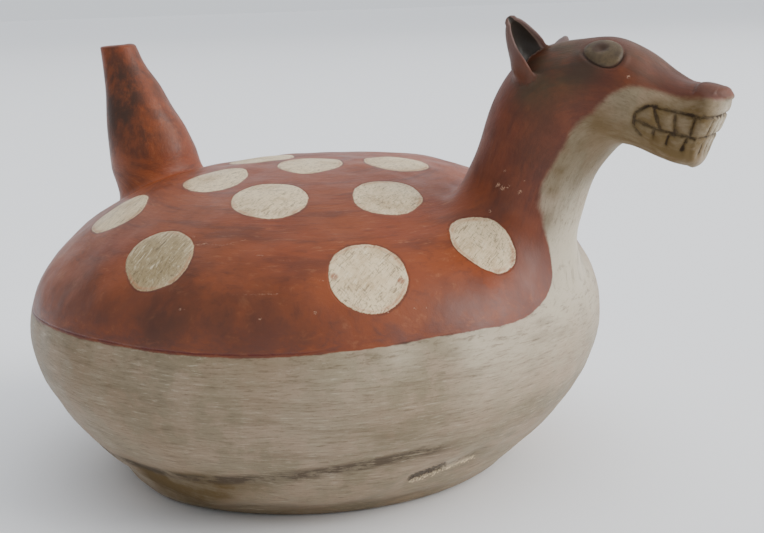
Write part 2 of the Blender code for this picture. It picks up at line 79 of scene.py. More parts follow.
# Shares of the spout's length from its rim: the stretch before the flare, the stretch in which
# the sections turn level, and the lip; and where along X the spout's root stands
SPOUT_FREE_SHARE = 0.80
RIM_CUT_SHARE = 0.45
LIP_SHARE = 0.022
SPOUT_ROOT_X = -0.0745
# The foot's edge: share of the angle under the belly, drop and bulge of its curve, and rounding
FOOT_EDGE_SHARE = 0.3
FOOT_DROP = 0.6
FOOT_BULGE = 0.0002
FOOT_ROUND = 0.0034

# Neck and head as shares of the head's length from the neck's root:
# nape x, nape z, throat x, throat z, half width, squareness, widening towards the top
NECK_AND_HEAD = (
    (-0.228, 0.304, 0.231, 0.029, 0.262, 2.0, 0.00),
    (-0.176, 0.410, 0.261, 0.129, 0.257, 2.0, 0.00),
    (-0.130, 0.554, 0.312, 0.251, 0.247, 2.0, 0.00),
    (-0.050, 0.683, 0.375, 0.335, 0.235, 2.0, 0.00),
    (0.056, 0.770, 0.431, 0.381, 0.222, 2.1, 0.02),
    (0.200, 0.810, 0.481, 0.383, 0.215, 2.1, 0.02),
    (0.344, 0.825, 0.529, 0.367, 0.207, 2.1, 0.00),
    (0.463, 0.806, 0.579, 0.347, 0.197, 2.2, -0.02),
    (0.566, 0.749, 0.629, 0.331, 0.182, 2.4, -0.06),
    (0.656, 0.690, 0.669, 0.320, 0.170, 2.6, -0.08),
    (0.725, 0.646, 0.699, 0.314, 0.160, 2.7, -0.08),
    (0.788, 0.637, 0.724, 0.310, 0.155, 2.7, -0.06),
    (0.836, 0.634, 0.741, 0.312, 0.151, 2.7, -0.04),
)
# Place of the muzzle's end, height of the dome on it in head lengths, power of the dome's edge,
# and the place and the height of the hollow's domed end in the neck
MUZZLE_END = len(NECK_AND_HEAD) - 1
MUZZLE_FRONT_ROUND = 0.045
MUZZLE_EDGE_POWER = 0.7
NECK_HOLLOW_END = 2.6
NECK_HOLLOW_DOME = 0.010

# Ears, from inside the head to the tip, in shares of the head's length:
# forward, outward, up, half width, depth, turn outwards in degrees
RIGHT_EAR = (
    (0.156, 0.070, 0.600, 0.075, 0.100, -6.0),
    (0.122, 0.138, 0.738, 0.090, 0.100, 6.0),
    (0.080, 0.156, 0.808, 0.067, 0.080, 21.0),
    (0.049, 0.180, 0.864, 0.041, 0.047, 31.0),
    (0.036, 0.198, 0.893, 0.021, 0.022, 34.0),
)
LEFT_EAR = (
    (0.138, 0.070, 0.585, 0.075, 0.100, -5.0),
    (0.125, 0.160, 0.678, 0.088, 0.098, 10.0),
    (0.108, 0.218, 0.722, 0.070, 0.075, 22.0),
    (0.088, 0.275, 0.765, 0.044, 0.045, 32.0),
    (0.073, 0.314, 0.789, 0.022, 0.021, 38.0),
)
# Bend of an ear's section and squareness of its edges
EAR_WRAP = math.radians(95.0)
EAR_EDGE_SQUARENESS = 2.4
# Softened seam between ear and head: where it is full and where it ends, the greatest distance
# looked at, and rounds
SEAM_CORE = 0.0006
SEAM_REACH = 0.0035
SEAM_AREA = 0.05
SEAM_ROUNDS = 24
# Wear on an ear's back, and the step of its strokes from row to row
EAR_WORN = 0.1
EAR_STROKE_STEP = 0.000112

# Nose pad, an ellipsoid at shares of the head's length, and how far it may stand off; the nick
# behind it and the bridge's swells as height, middle and width in metres
NOSE_PLACE = (0.806, 0.0, 0.598)
NOSE_SIZE = (0.080, 0.106, 0.040)
NOSE_PAD_LIMIT = 0.004
NOSE_NICK = (-0.0006, 0.1495, 0.0008)
BRIDGE_SWELLS = ((0.0009, 0.1405, 0.0060), (0.0004, 0.110, 0.012))

# Eyes, in places along the head and angles from the crown
EYE_PLACE = 6.33
EYE_HALF_PLACES = 0.73
EYE_ANGLE = math.radians(38.5)
EYE_HALF_ANGLE = math.radians(21.5)
PUPIL = (6.22, 38.5)
# Relief of the eyes in metres: disc, groove and lid, and the pupil as height, middle and width
PUPIL_HOLLOW = (-0.0009, 0.0, 0.0015)
EYE_DISC = 0.00075
EYE_DISC_FALL = 0.00045
EYE_GROOVE = 0.00010
EYE_GROOVE_LOW = 0.00050
EYE_LID = (0.00035, 1.20, 0.14)

# Mouth, on each side: place and angle in degrees along each groove
MIDDLE_LINE = (
    (7.09, 108.0), (7.68, 106.0), (8.47, 106.0), (9.53, 102.0), (10.78, 102.0), (12.0, 106.0),
)
UPPER_LINE = (
    (7.09, 108.0), (7.23, 100.0), (7.43, 96.0), (7.74, 90.0), (8.21, 82.0), (8.54, 81.0),
    (9.03, 78.0), (9.76, 73.0), (10.53, 72.0), (11.24, 74.0), (12.0, 76.0),
)
SIDE_GAPS = (
    ((8.33, 82.0), (8.56, 98.0)),
    ((8.56, 98.0), (8.64, 105.0)),
    ((9.73, 77.0), (9.75, 101.0)),
    ((11.33, 76.0), (11.25, 101.0)),
    ((6.94, 117.0), (7.16, 123.0)),
    ((7.05, 108.0), (6.94, 117.0)),
    ((8.26, 107.0), (8.05, 118.0)),
    ((9.36, 104.0), (8.97, 121.0)),
    ((10.98, 103.0), (10.56, 122.0)),
)
UPPER_FRONT_GAPS = (-0.66, -0.22, 0.24, 0.70)
LOWER_FRONT_GAPS = (-0.55, -0.12, 0.30, 0.68)
LOWER_GAP_END = -0.72
# Place where the mouth begins, depth and half width of its cuts, and rounding of the teeth
MOUTH_START = 6.3
LIP_CUT = (0.0008, 0.00042)
SIDE_CUT = (0.0006, 0.00036)
FRONT_CUT = (0.0002, 0.00034)
TOOTH_ROUNDING = (0.0005, 0.0, 0.0014)
# Unevenness of the muzzle's front: height, and how far the skin stands off there
FRONT_STEPS = (
    (0.1160, 0.1179, 0.1191, 0.1209, 0.1228, 0.1251, 0.1262, 0.1275, 0.1300, 0.1323, 0.1340, 0.1353,
     0.1380, 0.1392),
    (0.0010, 0.0010, 0.0004, -0.0003, -0.0007, -0.0009, -0.0006, -0.0002, 0.0001, 0.0004, 0.0009,
     0.0010, 0.0010, 0.0010),
)

# Level of the edge of the red slip round the belly, in degrees and metres
PAINT_LEVEL = (
    (-180.0, -125.0, -110.0, -97.0, -76.0, -61.0, -53.0, -46.0, -40.0, -32.0, -23.0, 23.0, 61.0,
     110.0, 180.0),
    (0.0672, 0.0668, 0.0678, 0.0681, 0.0677, 0.0680, 0.0688, 0.0692, 0.0699, 0.0701, 0.0697,
     0.0700, 0.0680, 0.0676, 0.0672),
)
# Edge of the red slip beside the bare chest: heights, and how far it lies to the right and left
PAINT_BESIDE = (
    (0.0700, 0.0780, 0.0847, 0.0907, 0.0978, 0.1049, 0.1200),
    (0.0120, 0.0120, 0.0120, 0.0127, 0.0144, 0.0167, 0.0170),
    (0.0480, 0.0420, 0.0360, 0.0305, 0.0240, 0.0175, 0.0170),
)
# Rounding of the corner between those two edges, upwards and sideways
CORNER = (0.012, 0.028)
# Line in the middle plane that the bare chest lies in front of: a point on it and its normal
NECK_LINE_X, NECK_LINE_Z = 0.0892, 0.1066
NECK_LINE_WAY = (0.616, 0.788)
FRONT_PAINT_LEVEL = 0.1395
# Angle of the edge of the red slip along the head, in places and degrees
PAINT_ON_HEAD = (
    (0.0, 0.78, 1.46, 1.98, 2.84, 3.74, 4.91, 5.93, 6.80, 7.46, 8.0, 8.8, 10.06, 12.0),
    (123.0, 123.0, 123.0, 124.0, 122.0, 117.0, 109.0, 92.0, 81.0, 72.0, 67.0, 60.0, 54.0, 52.0),
)
# Spots: middle, long and short half width in millimetres, and turn from level in degrees
SPOT_DEPTH = 30.0
SPOTS = (
    (17.5, -53.1, 107.7, 15.3, 12.6, 128), (86.6, -30.1, 93.2, 12.3, 9.5, 125),
    (-2.6, -88.1, 92.6, 13.9, 12.2, 147), (64.4, -67.9, 87.9, 13.2, 12.9, 112),
    (50.8, -30.5, 106.9, 14.2, 11.7, 50), (33, 8, 112.6, 14.6, 12, 15),
    (8, -13, 114.4, 15, 12, 94), (-17, -38, 111.3, 14.6, 12, 155),
    (-43.5, -61, 100.5, 15, 11.8, 172), (-22, -2, 113.9, 14, 12.5, 60),
    (14, 52, 107.9, 14.6, 12.4, 60), (70, 48, 96.1, 12.6, 10.4, 50),
    (0, 88, 92.9, 13.6, 12.2, 40), (48, 70, 96.1, 13.3, 12.7, 70),
    (-20, 36, 111.4, 14.2, 12.2, 30), (-46, 62, 99.5, 14.6, 12.6, 10),
)
# Soft clouds of soot, brown stain and pale patches with painted light: middle and reach in
# millimetres, strength
SOOT = (
    (9, -103.4, 77.3, 12, 0.5), (-17, -102.3, 77.5, 15, 0.35), (37, -97, 78, 16, 0.45),
    (-42, -95, 77, 15, 0.3), (60, -84, 77, 10, 0.45), (20, -96, 84, 20, 0.25),
    (110, -14.5, 149, 8, 0.9), (117, -14, 149, 6, 0.6), (98, -16.3, 145, 6.5, 0.8),
    (104, -12.5, 152.5, 7, 1), (95, -12, 150, 7, 0.6), (110, 14.5, 150, 9, 0.8),
    (102, 12.5, 152, 8, 0.8), (100, -18, 140, 10, 0.35), (-84.6, -12.2, 137.4, 5.5, 1),
    (-84, -13, 131.5, 4.5, 0.9), (-88, 3, 134, 8, 0.6), (-72, -12, 119, 9, 0.35),
    (-87.5, -7, 150, 12, 0.4), (-90, 0, 128, 26, 0.25), (5, 100, 80, 18, 0.6),
    (50, 92, 76, 14, 0.5), (-102, 5, 82, 18, 0.4), (101, -17, 119, 9, 0.4),
    (-60, 80, 85, 14, 0.4), (84, 0, 128, 12, 0.35), (92, -20, 104, 9, 0.3),
    (104, -6, 157, 8, 0.6), (104, 6, 157, 8, 0.6), (126, -4, 155, 12, 0.42),
    (139, -3, 148, 11, 0.4), (126, 6, 154, 11, 0.4), (153, -6, 146, 8, 0.4),
    (-88, -9, 120, 18, 0.45), (-94, -6, 144, 18, 0.35), (-84, 10, 132, 22, 0.45),
    (8, -74, 101, 20, 0.28), (-32, -78, 96, 20, 0.28), (38, -62, 103, 16, 0.22),
)
STAIN = (
    (-17, -89, 16.7, 7, 0.9), (-14, -82.4, 9.6, 8, 1), (-4, -85, 12, 9, 1),
    (4.6, -91, 17.5, 6, 1), (2.8, -85, 11.6, 9, 1), (12.5, -90, 17.5, 7, 1),
    (17.2, -88.6, 16.3, 7, 0.8), (28, -89, 18, 6, 0.5), (140, -14, 131, 9, 1),
    (149, -13.5, 130, 9, 1), (146, -10, 123, 8, 0.9), (137, -13, 126, 7, 0.8),
    (150, -11.5, 137.5, 6, 0.9), (140, 14, 131, 9, 0.9), (149, 13.5, 130, 9, 0.9),
    (146, 10, 123, 8, 0.9), (150, 11.5, 137.5, 6, 0.8), (40, 84, 17, 12, 0.6),
    (-70, 56, 16, 12, 0.5), (-13.5, -108.9, 56.1, 17, 0.3), (-30, -100, 58, 14, 0.3),
    (5, -107, 42, 16, 0.25), (121, -15, 133, 7, 0.7), (112, -14.5, 124, 5, 0.35),
    (108, -15, 116, 3.5, 0.7), (105.4, -14.8, 109.9, 3, 0.6), (103, -13.8, 99, 4, 0.35),
    (116, -11, 120, 12, 0.45), (130, -12, 121.5, 9, 0.45), (130, 12, 121.5, 9, 0.4),
    (41.4, -101.3, 61.3, 12, 0.25), (104, 15, 112, 4, 0.5), (118, 14.5, 130, 7, 0.6),
    (73.5, -78.6, 45.7, 12, 0.15),
)
# Pale patches: partly paler slip, partly painted light where the chest, the muzzle's front and the
# lower right flank face the bright side
PALE_AND_LIT = (
    (103, -18, 72, 20, 0.7), (105, 0, 88, 18, 1), (104, 20, 72, 20, 0.7), (98, -45, 62, 16, 0.5),
    (157, -3, 131, 6.5, 1), (155, 5, 128, 8, 0.8), (110, -6, 108, 9, 0.3), (90, -52, 66, 8, 0.6),
    (78, -72, 66, 7, 0.5), (82, -46, 20, 3, 0.8), (66, -80, 60, 12, 0.3),
)
# Level round the belly of the crease above the foot, with dirt and painted shade, in degrees and
# metres
CREASE_LEVEL = (
    (-180.0, -108.0, -88.0, -82.0, -69.0, -58.0, -46.0, -38.0, 0.0, 40.0, 90.0, 180.0),
    (0.018, 0.0184, 0.019, 0.020, 0.0226, 0.0258, 0.0285, 0.030, 0.029, 0.028, 0.020, 0.018),
)
# Marks of use, in millimetres: chips with their reach, and scratches from point to point
CHIPS = (
    (88.1, -20.6, 111.6, 0.9), (90, -20.7, 110.6, 1.1), (91.8, -20.7, 111.1, 0.7),
    (95.8, -20, 109.5, 0.9), (85.8, -22.2, 102.9, 0.8), (90.6, -20.3, 116.4, 0.5),
    (15.4, -100.8, 80.6, 0.6), (17, -100.6, 80.3, 0.5), (41.4, -94.4, 78.9, 0.7),
    (55.9, -85.7, 80.1, 0.8), (31.7, -80.6, 95, 0.5), (130.3, -14, 146.9, 0.8),
    (97.5, -19.7, 113.6, 0.5), (74, -72, 79, 0.5), (89, -52, 76, 0.5), (-30, 80, 95, 0.8),
    (30, 92, 82, 0.7), (60, 50, 99, 0.7),
)
SCRATCHES = (
    ((7.5, -82.6, 97), (11.5, -81.2, 97.8), 0.55), ((11.5, -81.2, 97.8), (17.8, -81, 97.3), 0.35),
    ((17.8, -81, 97.3), (23.9, -76.5, 98.9), 0.35), ((2, -80, 100), (6, -79.6, 99.6), 0.5),
    ((47, -80, 88), (54.5, -78, 88.3), 0.4), ((28, -80.5, 95.2), (33, -80, 95), 0.4),
    ((38, -79, 93.5), (42, -77.5, 93.6), 0.35), ((30, -93, 84.5), (44, -88, 85.5), 0.4),
    ((80, -66, 79.5), (84, -63, 80), 0.5), ((-8, -96, 78), (3, -99.5, 76), 0.3),
    ((104.5, -17.5, 106), (104, -16.5, 109.5), 0.5), ((-20, 90, 86), (6, 96, 84), 0.4),
)
# Dent low on the right: its line in millimetres, the relief's height, middle and width in metres,
# near edge, far edge and strength of the painted shade in its two stretches, and where the painted
# highlight along its edge lies
DENT = ((72.2, -55.8, 17.6), (79.2, -48.4, 19.6), (87.0, -37.7, 22.2))
DENT_BAND = (-0.0009, 0.0, 0.0040)
DENT_SHADE = ((0.0007, 0.0026, 1.0), (0.0002, 0.0009, 0.5))
DENT_HIGHLIGHT_OFFSET = (-1.4, 0.9, -2.4)
# Bands of relief round the body: height, middle and width of a bell curve in metres
WAIST = (-0.0007, -0.0015, 0.0042)
FOOT_SWELL = (0.0009, -0.0110, 0.0055)
CHEST_HOLLOW = (-0.0008, 0.013, 0.008)
CHEST_SWELL = (0.0008, 0.036, 0.010)
# Hand-made unevenness: height and length of the waves in metres, and their seed
WAVE_COUNT = 14
BODY_WAVES = ((0.00025, 0.045, 3), (0.00010, 0.016, 5))
FOOT_WAVES = (0.00030, 0.030, 9)
SLIM_WAVES = (0.00022, 0.020, 21)
# Slight waist on the front of the spout: middle, reach and depth
SPOUT_WAIST = ((-0.098, -0.006, 0.143), 0.010, 0.0009)
# Broad swells and hollows of the body: middle in millimetres, reach and height in metres
SWELLS = (
    ((-81.0, -52.0, 87.0), 0.018, -0.0013), ((-15.0, 22.0, 114.5), 0.020, -0.0008),
    ((38.0, 49.0, 106.5), 0.022, 0.0013), ((14.0, 43.0, 111.5), 0.018, 0.0005),
    ((-44.0, -86.0, 24.0), 0.018, -0.0009),
)
# Lip pushed out of the foot: where, how far and how wide, and how far the front is drawn in
FOOT_LIP_AZIMUTH = math.radians(-104.0)
FOOT_LIP_REACH = 0.0032
FOOT_LIP_SPREAD = 0.30
FOOT_FRONT_DRAWN_IN = 0.0014
# How the brush strokes' coordinates are narrowed on the body, the spout and the neck
BODY_STROKE = (0.09, 0.09, 1.0)
SPOUT_STROKE = (0.5, 0.5, 0.3)
SPOUT_STROKE_START = (0.035, 0.0, 0.050)
NECK_STROKE = 0.24

# Rows and columns of the grids
SKIN_COLUMNS = 240
HOLLOW_COLUMNS = 48
EAR_COLUMNS = 48
EAR_ROWS = 30
LIP_ROWS = 9
SPOUT_ROWS = 28
BELLY_ROWS = 92
FLARE_ROWS = (8, 14)
CHEEK = 4.6
NECK_ROWS = 37
HEAD_ROWS = 140
FRONT_ROWS = 28
FRONT_CROWDING = 1.6
HOLLOW_START = LIP_SHARE * 2.5
HOLLOW_ROWS = (10, 26, 7)
HOLLOW_FLARE_ROWS = (3, 4)
FLOOR_COLUMNS = 96
FLOOR_RINGS = 20

# Attributes of the painting, and what they read on the ears and inside the hollow where not 0
STROKES = ("stroke_body", "stroke_neck")
PAINTED = (
    "paint", "spot", "dark", "eye", "head", "neck", *STROKES,
    "inside", "cup", "soot", "stain", "pale", "crease", "mouth", "lined",
)
MOUTH_FAR = 6.0
EAR_PAINT = {
    "paint": 9.0, "spot": -5.0, "eye": -9.0, "head": 1.0, "neck": 1.0, "soot": 0.4,
    "crease": 99.0, "mouth": MOUTH_FAR,
}
HOLLOW_PAINT = {"spot": -1.0, "mouth": MOUTH_FAR, "eye": -9.0, "inside": 1.0}

# Shader: scratches drawn across the spots, as turn about the axes, share along them and scale,
# and small places in millimetres with their reach
HATCHES = (((0.0, -0.50, 1.434), 0.15, 1350.0), ((0.0, -0.62, 2.97), 0.18, 1250.0))
GREY_SPOT = ((-4.0, -88.0, 92.0), 20.0)
RED_MARKS = ((56.5, -75.0, 89.1), (73.4, -62.5, 86.6))
RED_MARK_REACH = 1.7
PUPIL_PLACES = ((119.6, -9.6, 155.9), (119.6, 9.6, 155.9))
PUPIL_REACH = 3.8

# Stage; each light has a kind, place, target, width, power and colour
FLOOR_LEVEL = -0.0002
CAMERA_PLACE = (0.24670, -0.36946, 0.17065)
WORLD_COLOUR = (0.84, 0.88, 0.93)
WORLD_DARK, WORLD_BRIGHT = 0.36, 1.03
WORLD_TURN = (-0.5, 0.4)
BRIGHT_SIDE = (0.15, 0.97, 0.15)
STAGE_LIGHTS = (
    ("window", "AREA", (5.40, 1.80, 2.91), (0.0, 0.0, 0.07), 4.4, 368.0, (1.0, 0.98, 0.95)),
    ("ceiling", "SUN", (0.05, 0.6, 1.6), (0.0, 0.0, 0.05), 2.2, 1.60, (0.97, 0.98, 1.0)),
    ("room", "AREA", (-1.5, -4.5, 2.3), (0.0, 0.0, 0.06), 4.2, 18.0, (1.0, 0.97, 0.93)),
)


def sized(unit):
    """Maker of properties in one unit."""
    def make(name, description, default):
        """Property with its name, what it says and what it starts from."""
        return FloatProperty(name=name, description=description, default=default, unit=unit)
    return make


a_length, a_number, an_angle = sized("LENGTH"), sized("NONE"), sized("ROTATION")


class PotSizes(bpy.types.PropertyGroup):
    """Sizes of the pot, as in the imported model"""

    belly_radius: a_length(
        "Belly radius", "Half the belly's greatest width", (HIGH.y - LOW.y) / 2.0)
    widest_height: a_length("Widest height", "Level at which the belly is widest", 0.0553)
    top_height: a_length("Top height", "Level of the top of the back", 0.1153)
    underside_depth: a_length(
        "Underside depth", "Depth of the lower half below the widest level", 0.0839)
    upper_fullness: a_number("Upper fullness", "Power of the upper half's outline", 2.18)
    lower_fullness: a_number("Lower fullness", "Power of the lower half's outline", 1.67)
    foot_radius: a_length("Foot radius", "Radius of the foot's edge", 0.0755)
    foot_start: a_length("Foot start", "Level at which the belly passes into the foot", 0.006)
    wall: a_length("Wall", "Thickness of the belly and the neck", 0.006)
    floor_thickness: a_length("Floor", "Thickness of the floor", 0.008)
    spout_length: a_length("Spout length", "From the belly to the rim", 0.061)
    spout_tilt: an_angle(
        "Spout tilt", "Lean of the spout from the upright, away from the head",
        math.radians(18.4))
    rim_radius: a_length("Rim radius", "Outer radius of the spout's rim", 0.007)
    root_radius: a_length("Root radius", "Outer radius of the spout at its root", 0.019)
    spout_swell: a_number(
        "Spout swell", "How far the spout's sides bulge between rim and root", 0.21)
    lip_wall: a_length("Lip wall", "Thickness of the clay at the spout's rim", 0.0025)
    head_length: a_length(
        "Head length", "Length that the neck's and head's shares refer to", 0.080)
    ear_root: a_length("Ear root", "Thickness of the ears at the head", 0.0044)
    ear_tip: a_length("Ear tip", "Thickness of the ears at the tip", 0.0022)


def through(rows, places):
    """Natural cubic curve through evenly numbered rows, read at the places."""
    rows = np.asarray(rows, float)
    count = len(rows)
    bend = np.zeros_like(rows)
    system = np.eye(count)
    inner = np.arange(1, count - 1)
    system[inner, inner - 1] = 1.0
    system[inner, inner] = 4.0
    system[inner, inner + 1] = 1.0
    bend[1:-1] = 6.0 * (rows[2:] - 2.0 * rows[1:-1] + rows[:-2])
    bend = np.linalg.solve(system, bend)
    below = np.clip(np.floor(places).astype(int), 0, count - 2)
    t = (places - below)[:, None]
    line = rows[below] * (1.0 - t) + rows[below + 1] * t
    return line - t * (1.0 - t) * ((2.0 - t) * bend[below] + (1.0 + t) * bend[below + 1]) / 6.0


def smooth(value, low, high):
    """0 below low, 1 above high, and 3t^2 - 2t^3 between them."""
    t = np.clip((value - low) / (high - low), 0.0, 1.0)
    return t * t * (3.0 - 2.0 * t)


def bump(value, middle, width):
    """Bell curve: e to the power of minus the square of the distance over the width."""
    return np.exp(-(((value - middle) / width) ** 2))


def band(value, sizes):
    """Bell curve with the height, middle and width in sizes."""
    height, middle, width = sizes
    return height * bump(value, middle, width)


def distance(points, place):
    """Distance of each point to one place."""
    return np.linalg.norm(points - np.asarray(place), axis=1)


def azimuth(points):
    """Angle of each point about the pot's axis in degrees, from +X towards +Y."""
    return np.degrees(np.arctan2(points[:, 1], points[:, 0]))


def waves(points, length, seed):
    """Hand-made unevenness: a sum of plane waves of about one length in random directions."""
    chance = np.random.default_rng(seed)
    ways = chance.normal(size=(WAVE_COUNT, 3))
    ways *= (2.0 * math.pi / length / np.linalg.norm(ways, axis=1))[:, None]
    ways *= chance.uniform(0.6, 1.4, (WAVE_COUNT, 1))
    starts = chance.uniform(0.0, 2.0 * math.pi, WAVE_COUNT)
    total = np.zeros(points.shape[:-1])
    for way, start in zip(ways, starts):
        total += np.sin(points @ way + start)
    return total / math.sqrt(WAVE_COUNT / 2.0)


def lean(angle):
    """Unit direction in the upright middle plane, leaning from +Z towards +X."""
    angle = np.asarray(angle, float)
    return np.stack([np.sin(angle), np.zeros_like(angle), np.cos(angle)], axis=-1)


def foot_edge(size, radius, height, across, up):
    """Turns the lowest part of the belly's outline into the foot.

    Below the foot's start the slope of the belly runs on in a cubic curve that ends level on the
    ground, and the rest is the flat sole, narrowing to the middle.
    """
    low = (size.widest_height - size.foot_start) / size.underside_depth
    power = size.lower_fullness
    wide = (1.0 - low**power) ** (1.0 / power)
    first = math.atan2(low, wide)
    share = np.clip((np.arctan2(up, across) - first) / (math.pi / 2.0 - first), 0.0, 1.0)
    slope = (wide / low) ** (power - 1.0) * size.underside_depth / size.belly_radius
    start = np.array([wide * size.belly_radius, size.foot_start])
    corners = np.array([
        start,
        start - FOOT_DROP * size.foot_start * np.array([1.0, slope]),
        [size.foot_radius + FOOT_BULGE, 0.0],
        [size.foot_radius - FOOT_ROUND, 0.0],
    ])
    t = np.clip(share / FOOT_EDGE_SHARE, 0.0, 1.0)
    weights = [(1.0 - t) ** 3, 3.0 * t * (1.0 - t) ** 2, 3.0 * t * t * (1.0 - t), t**3]
    edge = np.stack(weights, axis=-1) @ corners
    inward = 1.0 - np.clip((share - FOOT_EDGE_SHARE) / (1.0 - FOOT_EDGE_SHARE), 0.0, 1.0)
    under = share > 0.0
    return np.where(under, edge[..., 0] * inward, radius), np.where(under, edge[..., 1], height)


def belly_surface(size, direction, wall):
    """Point of the belly in each direction: two superellipse halves turned about Z.

    The distance across and the rise answer (across / radius)^n + (rise / height)^n = 1, with one
    power above the widest level and another below it. Inside the wall the floor cuts it flat.
    """
    across = np.hypot(direction[..., 0], direction[..., 1])
    up = np.abs(direction[..., 2])
    above = direction[..., 2] >= 0.0
    power = np.where(above, size.upper_fullness, size.lower_fullness)
    rise = np.where(
        above, size.top_height - size.widest_height - wall, wall - size.underside_depth)
    reach = (across**power + up**power) ** (-1.0 / power)
    radius = across * reach * (size.belly_radius - wall)
    height = size.widest_height + rise * reach * up
    if wall > 0.0:
        height = np.maximum(height, size.floor_thickness)
    else:
        lower = np.where(above, 0.0, up)
        radius, height = foot_edge(size, radius, height, across, lower)
    flat = direction[..., :2] * (radius / np.maximum(across, TINY))[..., None]
    return np.concatenate([flat, height[..., None]], axis=-1)


def swinging_circles(swings, angles):
    """Circles cut from the unit ball by planes that swing about a line above the back.

    Swing 0 touches the ball at the neck's root and swing 1 at the spout's root.
    """
    hinge = lean(ROOTS_MIDDLE) / math.cos(ROOTS_APART)
    turn = (1.0 - 2.0 * swings) * (math.pi / 2.0 - ROOTS_APART)
    along = lean(ROOTS_MIDDLE + math.pi - turn)
    centre = hinge - along * (along @ hinge)[:, None]
    radius = np.sqrt(1.0 - (centre**2).sum(axis=1))[:, None, None]
    around = np.sin(angles)[None, :, None] * SIDEWAYS
    around = around - np.cos(angles)[None, :, None] * along[:, None, :]
    return centre[:, None, :] + radius * around


def swing_at(spread):
    """Swing at which the circle round the neck's root has this angular radius."""
    turn = math.asin(math.cos(spread) * math.cos(ROOTS_APART))
    return (1.0 - turn / (math.pi / 2.0 - ROOTS_APART)) / 2.0


def spout_surface(size, shares, angles, wall):
    """Round sections of the spout from share 0 at the level rim to 1 at the root.

    The radius grows along the axis with a bulge of share times the sine of half a turn, and the
    sections near the rim are sheared level.
    """
    axis = lean(-size.spout_tilt)
    forward = np.array([math.cos(size.spout_tilt), 0.0, math.sin(size.spout_tilt)])
    swell = shares + size.spout_swell * shares * np.sin(math.pi * shares)
    radius = size.rim_radius + (size.root_radius - size.rim_radius) * swell
    if wall > 0.0:
        radius = radius - size.lip_wall - (wall - size.lip_wall) * shares
    root = belly_surface(size, lean(-SPOUT_ROOT_LEAN), 0.0)
    centre = root + axis * size.spout_length * (1.0 - shares[:, None])
    levelled = math.tan(size.spout_tilt) * np.clip(1.0 - shares / RIM_CUT_SHARE, 0.0, 1.0)
    out = forward - axis * levelled[:, None]
    around = np.cos(angles)[None, :, None] * out[:, None, :]
    around = around + np.sin(angles)[None, :, None] * SIDEWAYS
    return centre[:, None, :] + radius[:, None, None] * around


def lip_surface(size, turns, angles):
    """The rounded lip: half a ring of round section from the bore, turn 0, to the outside."""
    ring = spout_surface(size, np.array([LIP_SHARE]), angles, 0.0)[0]
    middle = ring.mean(axis=0)
    half = size.lip_wall / 2.0
    radius = size.rim_radius - half - half * np.cos(turns)
    rise = size.spout_length * LIP_SHARE * np.sin(turns)
    spread = (ring - middle)[None] * (radius / size.rim_radius)[:, None, None]
    return middle + spread + lean(-size.spout_tilt) * rise[:, None, None]


def head_sections(size, places):
    """Middle, half height vector, half width, squareness and widening of sections."""
    rows = through(NECK_AND_HEAD, np.asarray(places, float))
    flat = np.zeros(len(rows))
    upper = np.stack([rows[:, 0], flat, rows[:, 1]], axis=1) * size.head_length
    lower = np.stack([rows[:, 2], flat, rows[:, 3]], axis=1) * size.head_length
    middle = belly_surface(size, lean(NECK_ROOT_LEAN), 0.0) + (upper + lower) / 2.0
    return middle, (upper - lower) / 2.0, rows[:, 4] * size.head_length, rows[:, 5], rows[:, 6]


def head_surface(size, places, angles, wall):
    """Sections of the neck and head: superellipses that widen towards the top or the bottom."""
    middle, half, width, power, widening = head_sections(size, places)
    if wall > 0.0:
        half = half * (1.0 - wall / np.linalg.norm(half, axis=1))[:, None]
        width = width - wall
    c, s = np.cos(angles)[None], np.sin(angles)[None]
    power = power[:, None]
    reach = (np.abs(c) ** power + np.abs(s) ** power) ** (-1.0 / power)
    aside = reach * s * width[:, None] * (1.0 + widening[:, None] * c)
    return middle[:, None] + (reach * c)[..., None] * half[:, None] + aside[..., None] * SIDEWAYS


def front_way(size):
    """Unit direction in which the muzzle points at its end."""
    middle = head_sections(size, [MUZZLE_END - SMALL_STEP, MUZZLE_END])[0]
    return (middle[1] - middle[0]) / np.linalg.norm(middle[1] - middle[0])


def front_dome(size, shares):
    """Rise of the low dome on the muzzle's front at shares of its edge.

    It is the root of 1 - share^(2 / power), so the dome's edge is tightly rounded.
    """
    rise = np.sqrt(np.maximum(0.0, 1.0 - np.minimum(shares, 1.0) ** (2.0 / MUZZLE_EDGE_POWER)))
    return front_way(size) * MUZZLE_FRONT_ROUND * size.head_length * rise[:, None]


def front_surface(size, shares, angles):
    """Front of the muzzle: the last section shrunk to a share of itself, on a low dome."""
    last = head_surface(size, [MUZZLE_END], angles, 0.0)[0]
    middle = head_sections(size, [MUZZLE_END])[0][0]
    shrunk = (last - middle)[None] * shares[:, None, None]
    return middle + shrunk + front_dome(size, shares)[:, None]


def front_points(size, heights, sides):
    """Points on the front of the muzzle at shares of its half height and half width."""
    middle, half, width, power, _ = head_sections(size, [MUZZLE_END])
    share = (np.abs(heights) ** power + np.abs(sides) ** power) ** (1.0 / power)
    aside = (sides * width)[:, None] * SIDEWAYS
    return middle + heights[:, None] * half + aside + front_dome(size, share)


def flare(first, first_way, last, last_way, steps):
    """Rows of a flared root: one cubic for each column that leaves and arrives along the ways."""
    span = np.linalg.norm(last - first, axis=1)[:, None]
    leave = first_way / np.linalg.norm(first_way, axis=1)[:, None] * span
    arrive = last_way / np.linalg.norm(last_way, axis=1)[:, None] * span
    v = np.linspace(0.0, 1.0, steps + 2)[1:-1][:, None, None]
    rows = (2.0 * v**3 - 3.0 * v**2 + 1.0) * first + (v**3 - 2.0 * v**2 + v) * leave
    return rows + (3.0 * v**2 - 2.0 * v**3) * last + (v**3 - v**2) * arrive


